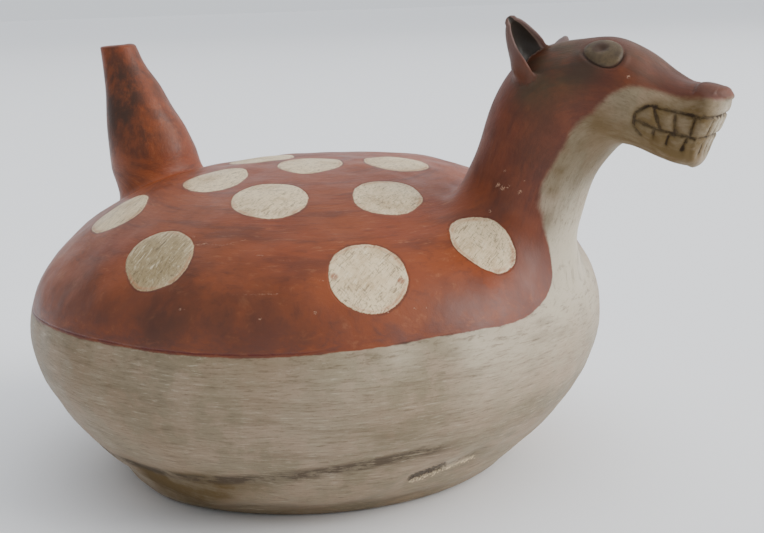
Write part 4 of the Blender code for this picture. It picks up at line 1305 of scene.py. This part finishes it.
class Finish:
    """Short ways to add nodes to the node tree of a material or a world."""

    def __init__(self, tree):
        self.tree = tree

    def add(self, kind, output, inputs=(), **settings):
        """Adds a node and returns one of its outputs.

        Inputs go by name or number: a Value is linked, None is left and the rest is set.
        """
        made = self.tree.nodes.new(kind)
        for key, value in settings.items():
            setattr(made, key, value)
        for key, value in inputs.items() if isinstance(inputs, dict) else enumerate(inputs):
            if isinstance(value, Value):
                self.tree.links.new(value.socket, made.inputs[key])
            elif value is not None:
                made.inputs[key].default_value = value
        return Value(self, made.outputs[output])

    def math(self, operation, *inputs, **settings):
        """Maths on numbers."""
        return self.add("ShaderNodeMath", 0, inputs, operation=operation, **settings)

    def vector(self, operation, output, inputs):
        """Vector maths; output 0 is the vector and output 1 the number."""
        return self.add("ShaderNodeVectorMath", output, inputs, operation=operation)

    def most(self, first, *others):
        """The greatest of the values."""
        for other in others:
            first = self.math("MAXIMUM", first, other)
        return first

    def read(self, name):
        """The painting's attribute of this name."""
        output = "Vector" if name in STROKES else "Fac"
        return self.add("ShaderNodeAttribute", output, attribute_name=name)

    def noise(self, vector, scale, detail, roughness, distortion=0.0):
        """Fractal noise around 0.5."""
        return self.add("ShaderNodeTexNoise", "Fac", {
            "Vector": vector, "Scale": scale, "Detail": detail, "Roughness": roughness,
            "Distortion": distortion})

    def ramp(self, value, low, high, start=0.0, end=1.0):
        """Smooth step from start at low to end at high."""
        return self.add("ShaderNodeMapRange", "Result", (value, low, high, start, end),
                        interpolation_type="SMOOTHSTEP")

    def bell(self, value, middle, width):
        """1 at the middle, falling smoothly to 0 at a width and a half on both sides."""
        return self.ramp(abs(value - middle), 0.0, width * 1.5, 1.0, 0.0)

    def layers(self, colour, *rows):
        """Lays colours over a first one: rows of factor and colour."""
        for factor, upper in rows:
            pair = [one if isinstance(one, Value) else (*one, 1.0) for one in (colour, upper)]
            colour = self.add("ShaderNodeMix", 2, {0: factor, 6: pair[0], 7: pair[1]},
                              data_type="RGBA")
        return colour

    def blend(self, factor, first, second):
        """Blend of two numbers."""
        return self.add("ShaderNodeMix", 0, {0: factor, 2: first, 3: second})

    def turned(self, vector, angles, factors):
        """Coordinates turned about the three axes and then scaled."""
        return self.add("ShaderNodeMapping", 0, {
            "Vector": vector, "Rotation": angles,
            "Scale": tuple(1.0 / factor for factor in factors)}, vector_type="TEXTURE")

    def loosened(self, vector, value, reach):
        """Coordinates shifted a little by a noise, so that small marks get uneven edges."""
        value = (value - 0.5) * (reach * 6.0)
        shift = self.vector("SCALE", 0, {0: (1.0, -1.0, 1.0), "Scale": value})
        return self.vector("ADD", 0, (vector, shift))

    def stretch(self, vector, start, end):
        """Distance to a straight stretch between two places given in millimetres."""
        start, end = np.array(start) * 0.001, np.array(end) * 0.001
        way = end - start
        off = self.vector("SUBTRACT", 0, (vector, tuple(start)))
        share = self.vector("DOT_PRODUCT", 1, (off, tuple(way / (way @ way))))
        share = self.math("ADD", share, 0.0, use_clamp=True)
        nearest = self.vector("SCALE", 0, {0: tuple(way), "Scale": share})
        return self.vector("DISTANCE", 1, (off, nearest))

    def near(self, vector, place, radius):
        """1 at a place given in millimetres, falling smoothly to 0 at a radius."""
        away = self.vector("DISTANCE", 1, (vector, tuple(value * 0.001 for value in place)))
        return self.ramp(away, radius * 0.0004, radius * 0.001, 1.0, 0.0)

    def surface(self, inputs):
        """Ends a material in one Principled shader with these inputs."""
        shader = self.add("ShaderNodeBsdfPrincipled", 0, inputs)
        end = self.tree.nodes.new("ShaderNodeOutputMaterial")
        self.tree.links.new(shader.socket, end.inputs[0])


class Clay(Finish):
    """The clay's node tree with the painting and the noises that all its slips share."""

    def __init__(self, tree):
        super().__init__(tree)
        for name in PAINTED:
            setattr(self, name, self.read(name))
        self.place = self.add("ShaderNodeTexCoord", "Object")
        self.clouds = self.noise(self.place, 22.0, 4.0, 0.6)
        self.mottle = self.noise(self.place, 95.0, 5.0, 0.65)
        self.specks = self.noise(self.place, 420.0, 3.0, 0.6)
        self.grit = self.noise(self.place, 1100.0, 3.0, 0.6)
        self.broad = self.drawn(70.0, 3.0, 0.6)
        self.bands = self.drawn(330.0, 4.0, 0.65)
        self.lines = self.drawn(1700.0, 4.0, 0.75, 0.3)
        self.hatch, self.cross = (
            self.noise(self.turned(self.place, angles, (share, 1.0, 1.0)), scale, 4.0, 0.8, 0.9)
            for angles, share, scale in HATCHES)
        self.uneven = self.mottle - 0.5

    def drawn(self, scale, detail, roughness, distortion=0.0):
        """Noise drawn out along the strokes of the body, and of the neck where that begins."""
        return self.blend(
            self.neck, self.noise(self.stroke_body, scale, detail, roughness, distortion),
            self.noise(self.stroke_neck, scale * 0.8, detail, roughness, distortion))


def red_slip(f, colours):
    """Red slip: warm clouds, dark and worn strokes, a dull lower edge, age and soot."""
    low = f.ramp(f.paint, 2.0, 20.0, 1.0, 0.0) * (1.0 - f.neck)
    low = low * f.ramp(f.lines + f.bands, 0.80, 1.15, 0.35, 0.80)
    aged = f.neck * 0.50 + (f.head * 0.12 + 0.14) + f.uneven * f.neck
    sooted = f.soot * f.ramp(f.mottle + f.bands, 0.70, 1.15, 0.35, 1.0)
    tarnished = f.head * f.soot * f.ramp(f.clouds, 0.4, 0.6, 0.1, 0.45)
    return f.layers(
        colours.red,
        (f.ramp(f.broad + f.clouds, 0.85, 1.15), colours.red_orange),
        (f.ramp(f.bands, 0.46, 0.68, 0.0, 0.55), colours.red_dark),
        (f.ramp(f.lines, 0.52, 0.72, 0.0, 0.45), colours.red_dark),
        (f.ramp(f.lines, 0.45, 0.28, 0.0, 0.45 - f.neck * 0.22), colours.red_pale),
        (low, colours.red_dull),
        (aged, colours.red_dark),
        (sooted, colours.soot),
        (tarnished, colours.olive),
    )


def cream_slip(f, colours):
    """Cream slip with clouds, strokes, stain and the crease's dirt and painted shade, and how
    soiled and shaded it is.
    """
    stained = f.stain * f.ramp(f.mottle + f.bands, 0.75, 1.10, 0.50, 1.0)
    # Band along the crease above the foot: dirt, and painted shade under the belly's overhang
    crease_dirt_and_shade = f.ramp(abs(f.crease), 1.0, 3.6, 1.0, 0.0)
    crease_dirt_and_shade = crease_dirt_and_shade * f.ramp(f.lines * 0.8 + f.mottle, 0.76, 0.96, 0.30, 1.0)
    crease_dirt_and_shade = crease_dirt_and_shade * f.math("MINIMUM", f.lined, 1.0)
    cream = f.layers(
        colours.cream,
        (f.ramp(f.clouds, 0.40, 0.60), colours.cream_dark),
        (f.ramp(f.mottle, 0.42, 0.60, 0.0, 0.65), colours.cream_warm),
        (f.ramp(f.broad, 0.50, 0.68, 0.0, 0.50), colours.olive),
        # pale patches: paler slip, and painted light on the chest, the muzzle's front and the lower
        # right flank
        (f.pale, colours.lit_and_pale_cream),
        (f.ramp(f.bands, 0.50, 0.70, 0.0, 0.32), colours.cream_stroke),
        (f.ramp(f.lines, 0.50, 0.72, 0.0, 0.70), colours.cream_stroke),
        (f.ramp(f.hatch, 0.54, 0.74, 0.0, 0.45), colours.cream_stroke),
        (f.ramp(f.lines, 0.46, 0.28, 0.0, 0.5 - f.neck * 0.3), colours.lit_and_pale_cream),
        (stained, colours.stain),
        (crease_dirt_and_shade * 0.85, colours.dirt_and_shade),
    )
    return cream, f.most(crease_dirt_and_shade, stained)


def spot_slip(f, colours, rim):
    """Pale slip of the spots: one greyer spot, hatched scratches, red marks, a worn rim."""
    marks = [(f.near(f.place, place, RED_MARK_REACH) * 0.7, colours.red) for place in RED_MARKS]
    return f.layers(
        colours.spot,
        (f.ramp(f.mottle, 0.40, 0.70), colours.spot_dark),
        (f.near(f.place, *GREY_SPOT), colours.spot_grey),
        (f.ramp(f.hatch, 0.53, 0.64, 0.0, 0.75), colours.cream_stroke),
        (f.ramp(f.cross, 0.54, 0.66, 0.0, 0.65), colours.cream_stroke),
        *marks,
        (f.ramp(f.hatch, 0.47, 0.32, 0.0, 0.65), colours.spot_pale),
        (rim, colours.red_pale),
    )


def eye_slip(f, colours):
    """Grey slip of the eyes, with dark pupils."""
    return f.layers(
        colours.eye,
        (f.ramp(f.mottle, 0.35, 0.65), colours.eye_dark),
        (f.ramp(f.hatch, 0.52, 0.70, 0.0, 0.5), colours.eye_dark),
        *((f.near(f.place, place, PUPIL_REACH) * 0.75, colours.soot) for place in PUPIL_PLACES),
    )


def wear_and_dent_shading(f):
    """Chips and scratches, the painted shade in the dent and the painted highlight along its edge.
    """
    loose = f.loosened(f.place, f.grit, 0.0010)
    chips = [f.near(loose, place, reach) for *place, reach in CHIPS]
    dashes = f.ramp(f.grit, 0.40, 0.55, 0.15, 0.8)
    scratches = [
        f.ramp(f.stretch(loose, start, end), width * 0.0004, width * 0.001, 1.0, 0.0) * dashes
        for start, end, width in SCRATCHES]
    # Painted shade along the dent's hollow
    gash = [
        f.ramp(f.stretch(loose, start, end), *reach, 0.0)
        for start, end, reach in zip(DENT, DENT[1:], DENT_SHADE)]
    # Painted highlight along the dent's lit edge, a little beside its line
    edge = [np.add(place, DENT_HIGHLIGHT_OFFSET) for place in DENT]
    light = [
        f.ramp(f.stretch(loose, start, end), 0.0004, 0.0014, 0.9, 0.0)
        for start, end in zip(edge, edge[1:])]
    return f.most(*chips, *scratches), f.most(*gash), f.most(*light)


def clay_finish(colours):
    """Burnished slips: red above, cream below and on the spots, with clouds, strokes and wear."""
    material, f = new_material("Burnished red and cream slip", Clay)
    edge = f.paint + f.uneven * (f.neck * 1.6 + 1.2) + (f.lines - 0.5) * 0.8
    above = f.ramp(edge / (f.neck * 4.0 + 1.0), -0.22, 0.22)
    line = f.bell(f.paint, 0.9, 0.34) * f.ramp(f.lines, 0.35, 0.55, 0.3, 0.9)
    line = line * f.most(f.lined - 1.0, 0.0)
    cracked = f.bell(f.paint, -0.1, 0.55) * f.ramp(f.bands, 0.50, 0.60, 0.0, 0.9)
    cracked = cracked * f.math("MINIMUM", f.lined, 2.15 - f.lined)
    rim = f.spot + f.uneven * 1.8 + (f.cross - 0.5) * 0.9
    worn = f.ramp(f.clouds + f.mottle, 0.9, 1.1)
    groove = f.mouth + (f.specks - 0.5) * 7.0 + (f.grit - 0.5) * 1.5
    bite = f.ramp(groove, 0.1, 1.8, 1.0, 0.0) * f.ramp(f.mottle, 0.35, 0.60, 0.35, 0.90)
    chipped, gash, light = wear_and_dent_shading(f)
    cream, soiled_and_shaded = cream_slip(f, colours)
    colour = f.layers(
        cream,
        (above, red_slip(f, colours)),
        (f.bell(rim, -0.4, 0.4) * worn * 0.6, colours.red_dark),
        (f.ramp(rim, -0.2, 0.2), spot_slip(f, colours, f.bell(rim, 0.8, 0.6) * worn * 0.5)),
        (f.ramp(f.eye + f.uneven * 1.6, -0.3, 0.3), eye_slip(f, colours)),
        (f.ramp(f.cup, 0.0, 0.1, 0.0, 0.75), colours.ear_skin),
        # Painted highlight along the rim of each ear's cup
        (f.bell(f.cup, 0.3, 0.2) * 0.4, colours.cream_dark),
        (f.ramp(f.cup, 0.35, 0.75), colours.ear_cup),
        (line, colours.line),
        (cracked, colours.groove),
        (f.ramp(f.dark, 0.15, 0.9, 0.0, 0.85), colours.groove),
        (f.ramp(groove, 1.0, 5.0, 0.55, 0.0), colours.stain),
        (bite, colours.groove),
        (chipped * 0.8, colours.chip),
        # Painted highlight on the dent's edge, then painted shade in the dent
        (light, colours.spot),
        (gash * f.ramp(f.mottle, 0.3, 0.6, 0.3, 0.9), colours.dirt_and_shade),
        (f.inside, colours.inside),
    )
    height = 0.0
    for value, weight in (
        (f.uneven, 0.20), (f.lines, 0.11), (f.bands, 0.14), (f.hatch * (1.0 - above), 0.06),
        (f.hatch * f.ramp(f.spot, -0.2, 0.4), 0.16), (f.grit, 0.03), (line, -0.35),
        (cracked, -0.30), (chipped, -0.12), (gash, -1.4), (bite, -0.25),
        (f.bell(f.spot, 0.0, 0.4), -0.10),
    ):
        height = f.math("MULTIPLY_ADD", value, weight, height)
    matt = f.most(soiled_and_shaded, chipped, bite, f.neck * 0.5)
    rough = f.ramp(f.mottle, 0.3, 0.7, 0.34, 0.46) + (1.0 - above) * 0.10 + matt * 0.2
    raised = f.add("ShaderNodeBump", 0, {"Strength": 0.9, "Distance": 0.001, "Height": height})
    f.surface({
        "Base Color": colour, "Roughness": rough, "Normal": raised, "Specular IOR Level": 0.30})
    return material


def new_material(name, kind):
    """Material with an empty node tree, and the short ways to fill it."""
    material = bpy.data.materials.new(name)
    material.use_nodes = True
    material.node_tree.nodes.clear()
    return material, kind(material.node_tree)


def floor_finish(colour):
    """Matt floor, a tenth darker far away from the pot, which hides the horizon."""
    material, f = new_material("Pale matt floor", Finish)
    away = f.vector("LENGTH", 1, (f.add("ShaderNodeTexCoord", "Object"),))
    far = tuple(0.9 * value for value in colour)
    f.surface({
        "Base Color": f.layers(colour, (f.ramp(away, 1.0, 9.0), far)), "Roughness": 0.9})
    return material


def floor_disc(radius):
    """A level disc as a grid: rings at the fifth power of even shares, a little under the foot."""
    angles = ring_angles(FLOOR_COLUMNS)
    shares = np.linspace(0.0, 1.0, FLOOR_RINGS + 1)[1:, None] ** 5 * radius
    flat = np.stack([shares * np.cos(angles), shares * np.sin(angles)], axis=-1).reshape(-1, 2)
    points = np.insert(np.append(flat, [[0.0, 0.0]], axis=0), 2, FLOOR_LEVEL, axis=1)
    quads = grid_faces(FLOOR_RINGS, FLOOR_COLUMNS, 0)
    return new_piece("floor", points, quads, pole_faces(0, len(flat), FLOOR_COLUMNS)[:, ::-1])


def soft_light(name, kind, place, target, wide, power, colour):
    """Square area light, or a broad sun, that faces a target; wide is metres or radians.

    The sun gives no mirror image of itself, so that the top of the pot keeps its depth of colour.
    """
    data = bpy.data.lights.new(name, kind)
    data.energy = power
    data.color = colour
    if kind == "SUN":
        data.angle = wide
    else:
        data.size = wide
    light = bpy.data.objects.new(name, data)
    light.location = place
    way = Vector(place) - Vector(target)
    light.rotation_euler = way.to_track_quat("Z", "Y").to_euler()
    light.visible_glossy = kind != "SUN"
    bpy.context.scene.collection.objects.link(light)


def slip(name, description, *screen):
    """Colour property from a colour as it shows on a screen."""
    return FloatVectorProperty(
        name=name, description=description, subtype="COLOR", default=linear(*screen))


class PotColours(bpy.types.PropertyGroup):
    """Colours of the slips, as they show on a screen"""

    red: slip("Red", "Red slip", 138, 66, 34)
    red_orange: slip("Orange red", "Warmer clouds in the red slip", 147, 75, 38)
    red_dark: slip("Dark red", "Darker strokes and clouds in the red slip", 84, 45, 34)
    red_dull: slip("Dull red", "Greyer red along the lower edge", 104, 66, 56)
    red_pale: slip("Pale red", "Worn strokes in the red slip", 178, 116, 78)
    soot: slip("Soot", "Dark clouds in the red slip", 66, 45, 36)
    cream: slip("Cream", "Cream slip", 152, 135, 112)
    cream_dark: slip("Dark cream", "Greyer clouds in the cream slip", 134, 120, 96)
    # This pale cream also paints light on the chest, the muzzle's front and the lower right flank
    lit_and_pale_cream: slip("Pale cream", "Palest patches of the cream slip", 190, 178, 155)
    cream_warm: slip("Warm cream", "Pinker patches in the cream slip", 158, 136, 114)
    cream_stroke: slip("Stroke", "Thin brown strokes in the cream slip", 98, 82, 62)
    stain: slip("Stain", "Brown stain in the cream slip", 98, 78, 44)
    # This colour paints dirt and shade in the crease above the foot, and shade in the dent
    dirt_and_shade: slip("Dirt", "Dirt in the crease above the foot", 70, 58, 44)
    line: slip("Line", "Cut line under the edge of the red slip", 92, 30, 22)
    spot: slip("Spots", "Cream of the spots", 226, 203, 164)
    spot_pale: slip("Pale strokes", "Palest scratches in the spots", 240, 226, 196)
    spot_dark: slip("Worn spots", "Darker patches in the spots", 198, 172, 132)
    spot_grey: slip("Grey spot", "Olive grey of one dull spot", 160, 140, 101)
    eye: slip("Eyes", "Grey cream of the eyes", 106, 88, 62)
    eye_dark: slip("Eyes, darker", "Greyer patches of the eyes", 74, 61, 45)
    ear_cup: slip("Ear hollows", "Grey brown inside the ears", 44, 36, 28)
    groove: slip("Grooves", "Dirt in the cut lines", 52, 38, 27)
    chip: slip("Chips", "Pale clay where the slip is chipped", 190, 150, 122)
    inside: slip("Inside", "Bare clay inside the hollow", 120, 84, 62)
    olive: slip("Olive", "Olive stain on the head and in the cream", 96, 84, 56)
    ear_skin: slip("Ears", "Worn mauve brown on the ears", 101, 77, 75)


class StageSettings(bpy.types.PropertyGroup):
    """Floor and camera"""

    floor_radius: a_length("Floor", "Radius of the floor", 400.0)
    floor_colour: slip("Floor colour", "Pale floor", 247, 248, 250)
    lens: a_number("Lens", "Focal length in millimetres", 54.19)
    heading: an_angle("Heading", "Camera's turn to the left of straight ahead", 0.5304)
    pitch: an_angle("Pitch", "Camera's tilt below the level", 0.221)
    roll: an_angle("Roll", "Camera's turn about its own axis", -0.034)


class DEER_POT_OT_make_pot(bpy.types.Operator):
    """Model the pot as one piece and finish its slipped clay"""

    bl_idname = "deer_pot.make_pot"
    bl_label = "Make the pot"

    def execute(self, context):
        size = context.scene.deer_pot_sizes
        pot = make_skin(size)
        ears = [
            make_ear(size, "ear_right", RIGHT_EAR, -1.0),
            make_ear(size, "ear_left", LEFT_EAR, 1.0),
        ]
        mesh = join_ears(pot, ears)
        fill_new_points(mesh, soften_seams(mesh))
        mesh.materials.clear()
        mesh.materials.append(clay_finish(context.scene.deer_pot_colours))
        mesh.shade_smooth()
        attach(pot, BODY)
        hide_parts(NODE)
        return {"FINISHED"}


def make_world(scene):
    """Even pale light from all round, dimmer on the side away from the bright one."""
    scene.world = bpy.data.worlds.new("Pale room")
    scene.world.use_nodes = True
    room = Finish(scene.world.node_tree)
    background = room.tree.nodes["Background"]
    background.inputs["Color"].default_value = (*WORLD_COLOUR, 1.0)
    way = room.add("ShaderNodeTexCoord", "Generated")
    facing = room.vector("DOT_PRODUCT", 1, (way, BRIGHT_SIDE))
    strength = room.ramp(facing, *WORLD_TURN, WORLD_DARK, WORLD_BRIGHT)
    room.tree.links.new(strength.socket, background.inputs["Strength"])


def make_camera(scene, stage):
    """The photograph's camera: turned about Z, then tilted, then rolled."""
    data = bpy.data.cameras.new("Photograph")
    data.sensor_width = 36.0
    data.lens = stage.lens
    data.clip_start = 0.01
    camera = bpy.data.objects.new("Photograph", data)
    turns = [(stage.heading, "Z"), (math.pi / 2.0 - stage.pitch, "X"), (stage.roll, "Z")]
    way = Matrix.Translation(CAMERA_PLACE)
    for angle, axis in turns:
        way = way @ Matrix.Rotation(angle, 4, axis)
    camera.matrix_world = way
    scene.collection.objects.link(camera)
    bpy.context.scene.camera = camera


class DEER_POT_OT_make_stage(bpy.types.Operator):
    """Set up the pale floor, the soft lights and the camera"""

    bl_idname = "deer_pot.make_stage"
    bl_label = "Make the stage"

    def execute(self, context):
        stage = context.scene.deer_pot_stage
        floor = floor_disc(stage.floor_radius)
        floor.data.materials.append(floor_finish(tuple(stage.floor_colour)))
        for light in STAGE_LIGHTS:
            soft_light(*light)
        make_world(context.scene)
        make_camera(context.scene, stage)
        return {"FINISHED"}


class DEER_POT_PT_panel(bpy.types.Panel):
    """Makes the pot and its stage, with their sizes and colours"""

    bl_idname = "DEER_POT_PT_panel"
    bl_label = "Deer pot"
    bl_space_type = "VIEW_3D"
    bl_region_type = "UI"
    bl_category = "Deer pot"

    def draw(self, context):
        for name, operator in (
            ("deer_pot_sizes", DEER_POT_OT_make_pot.bl_idname),
            ("deer_pot_colours", None),
            ("deer_pot_stage", DEER_POT_OT_make_stage.bl_idname),
        ):
            box = self.layout.box()
            group = getattr(context.scene, name)
            for key in group.bl_rna.properties.keys():
                if key not in ("rna_type", "name"):
                    box.prop(group, key)
            if operator:
                box.operator(operator)


CLASSES = (
    PotSizes,
    PotColours,
    StageSettings,
    DEER_POT_OT_make_pot,
    DEER_POT_OT_make_stage,
    DEER_POT_PT_panel,
)


def register():
    """Makes the settings, operators and panel known."""
    for item in CLASSES:
        bpy.utils.register_class(item)
    bpy.types.Scene.deer_pot_sizes = PointerProperty(type=PotSizes)
    bpy.types.Scene.deer_pot_colours = PointerProperty(type=PotColours)
    bpy.types.Scene.deer_pot_stage = PointerProperty(type=StageSettings)


def unregister():
    """Takes them away again."""
    del bpy.types.Scene.deer_pot_stage
    del bpy.types.Scene.deer_pot_colours
    del bpy.types.Scene.deer_pot_sizes
    for item in reversed(CLASSES):
        bpy.utils.unregister_class(item)


def main():
    """Makes the pot and its stage."""
    register()
    bpy.ops.deer_pot.make_pot()
    bpy.ops.deer_pot.make_stage()


if __name__ == "__main__":
    main()
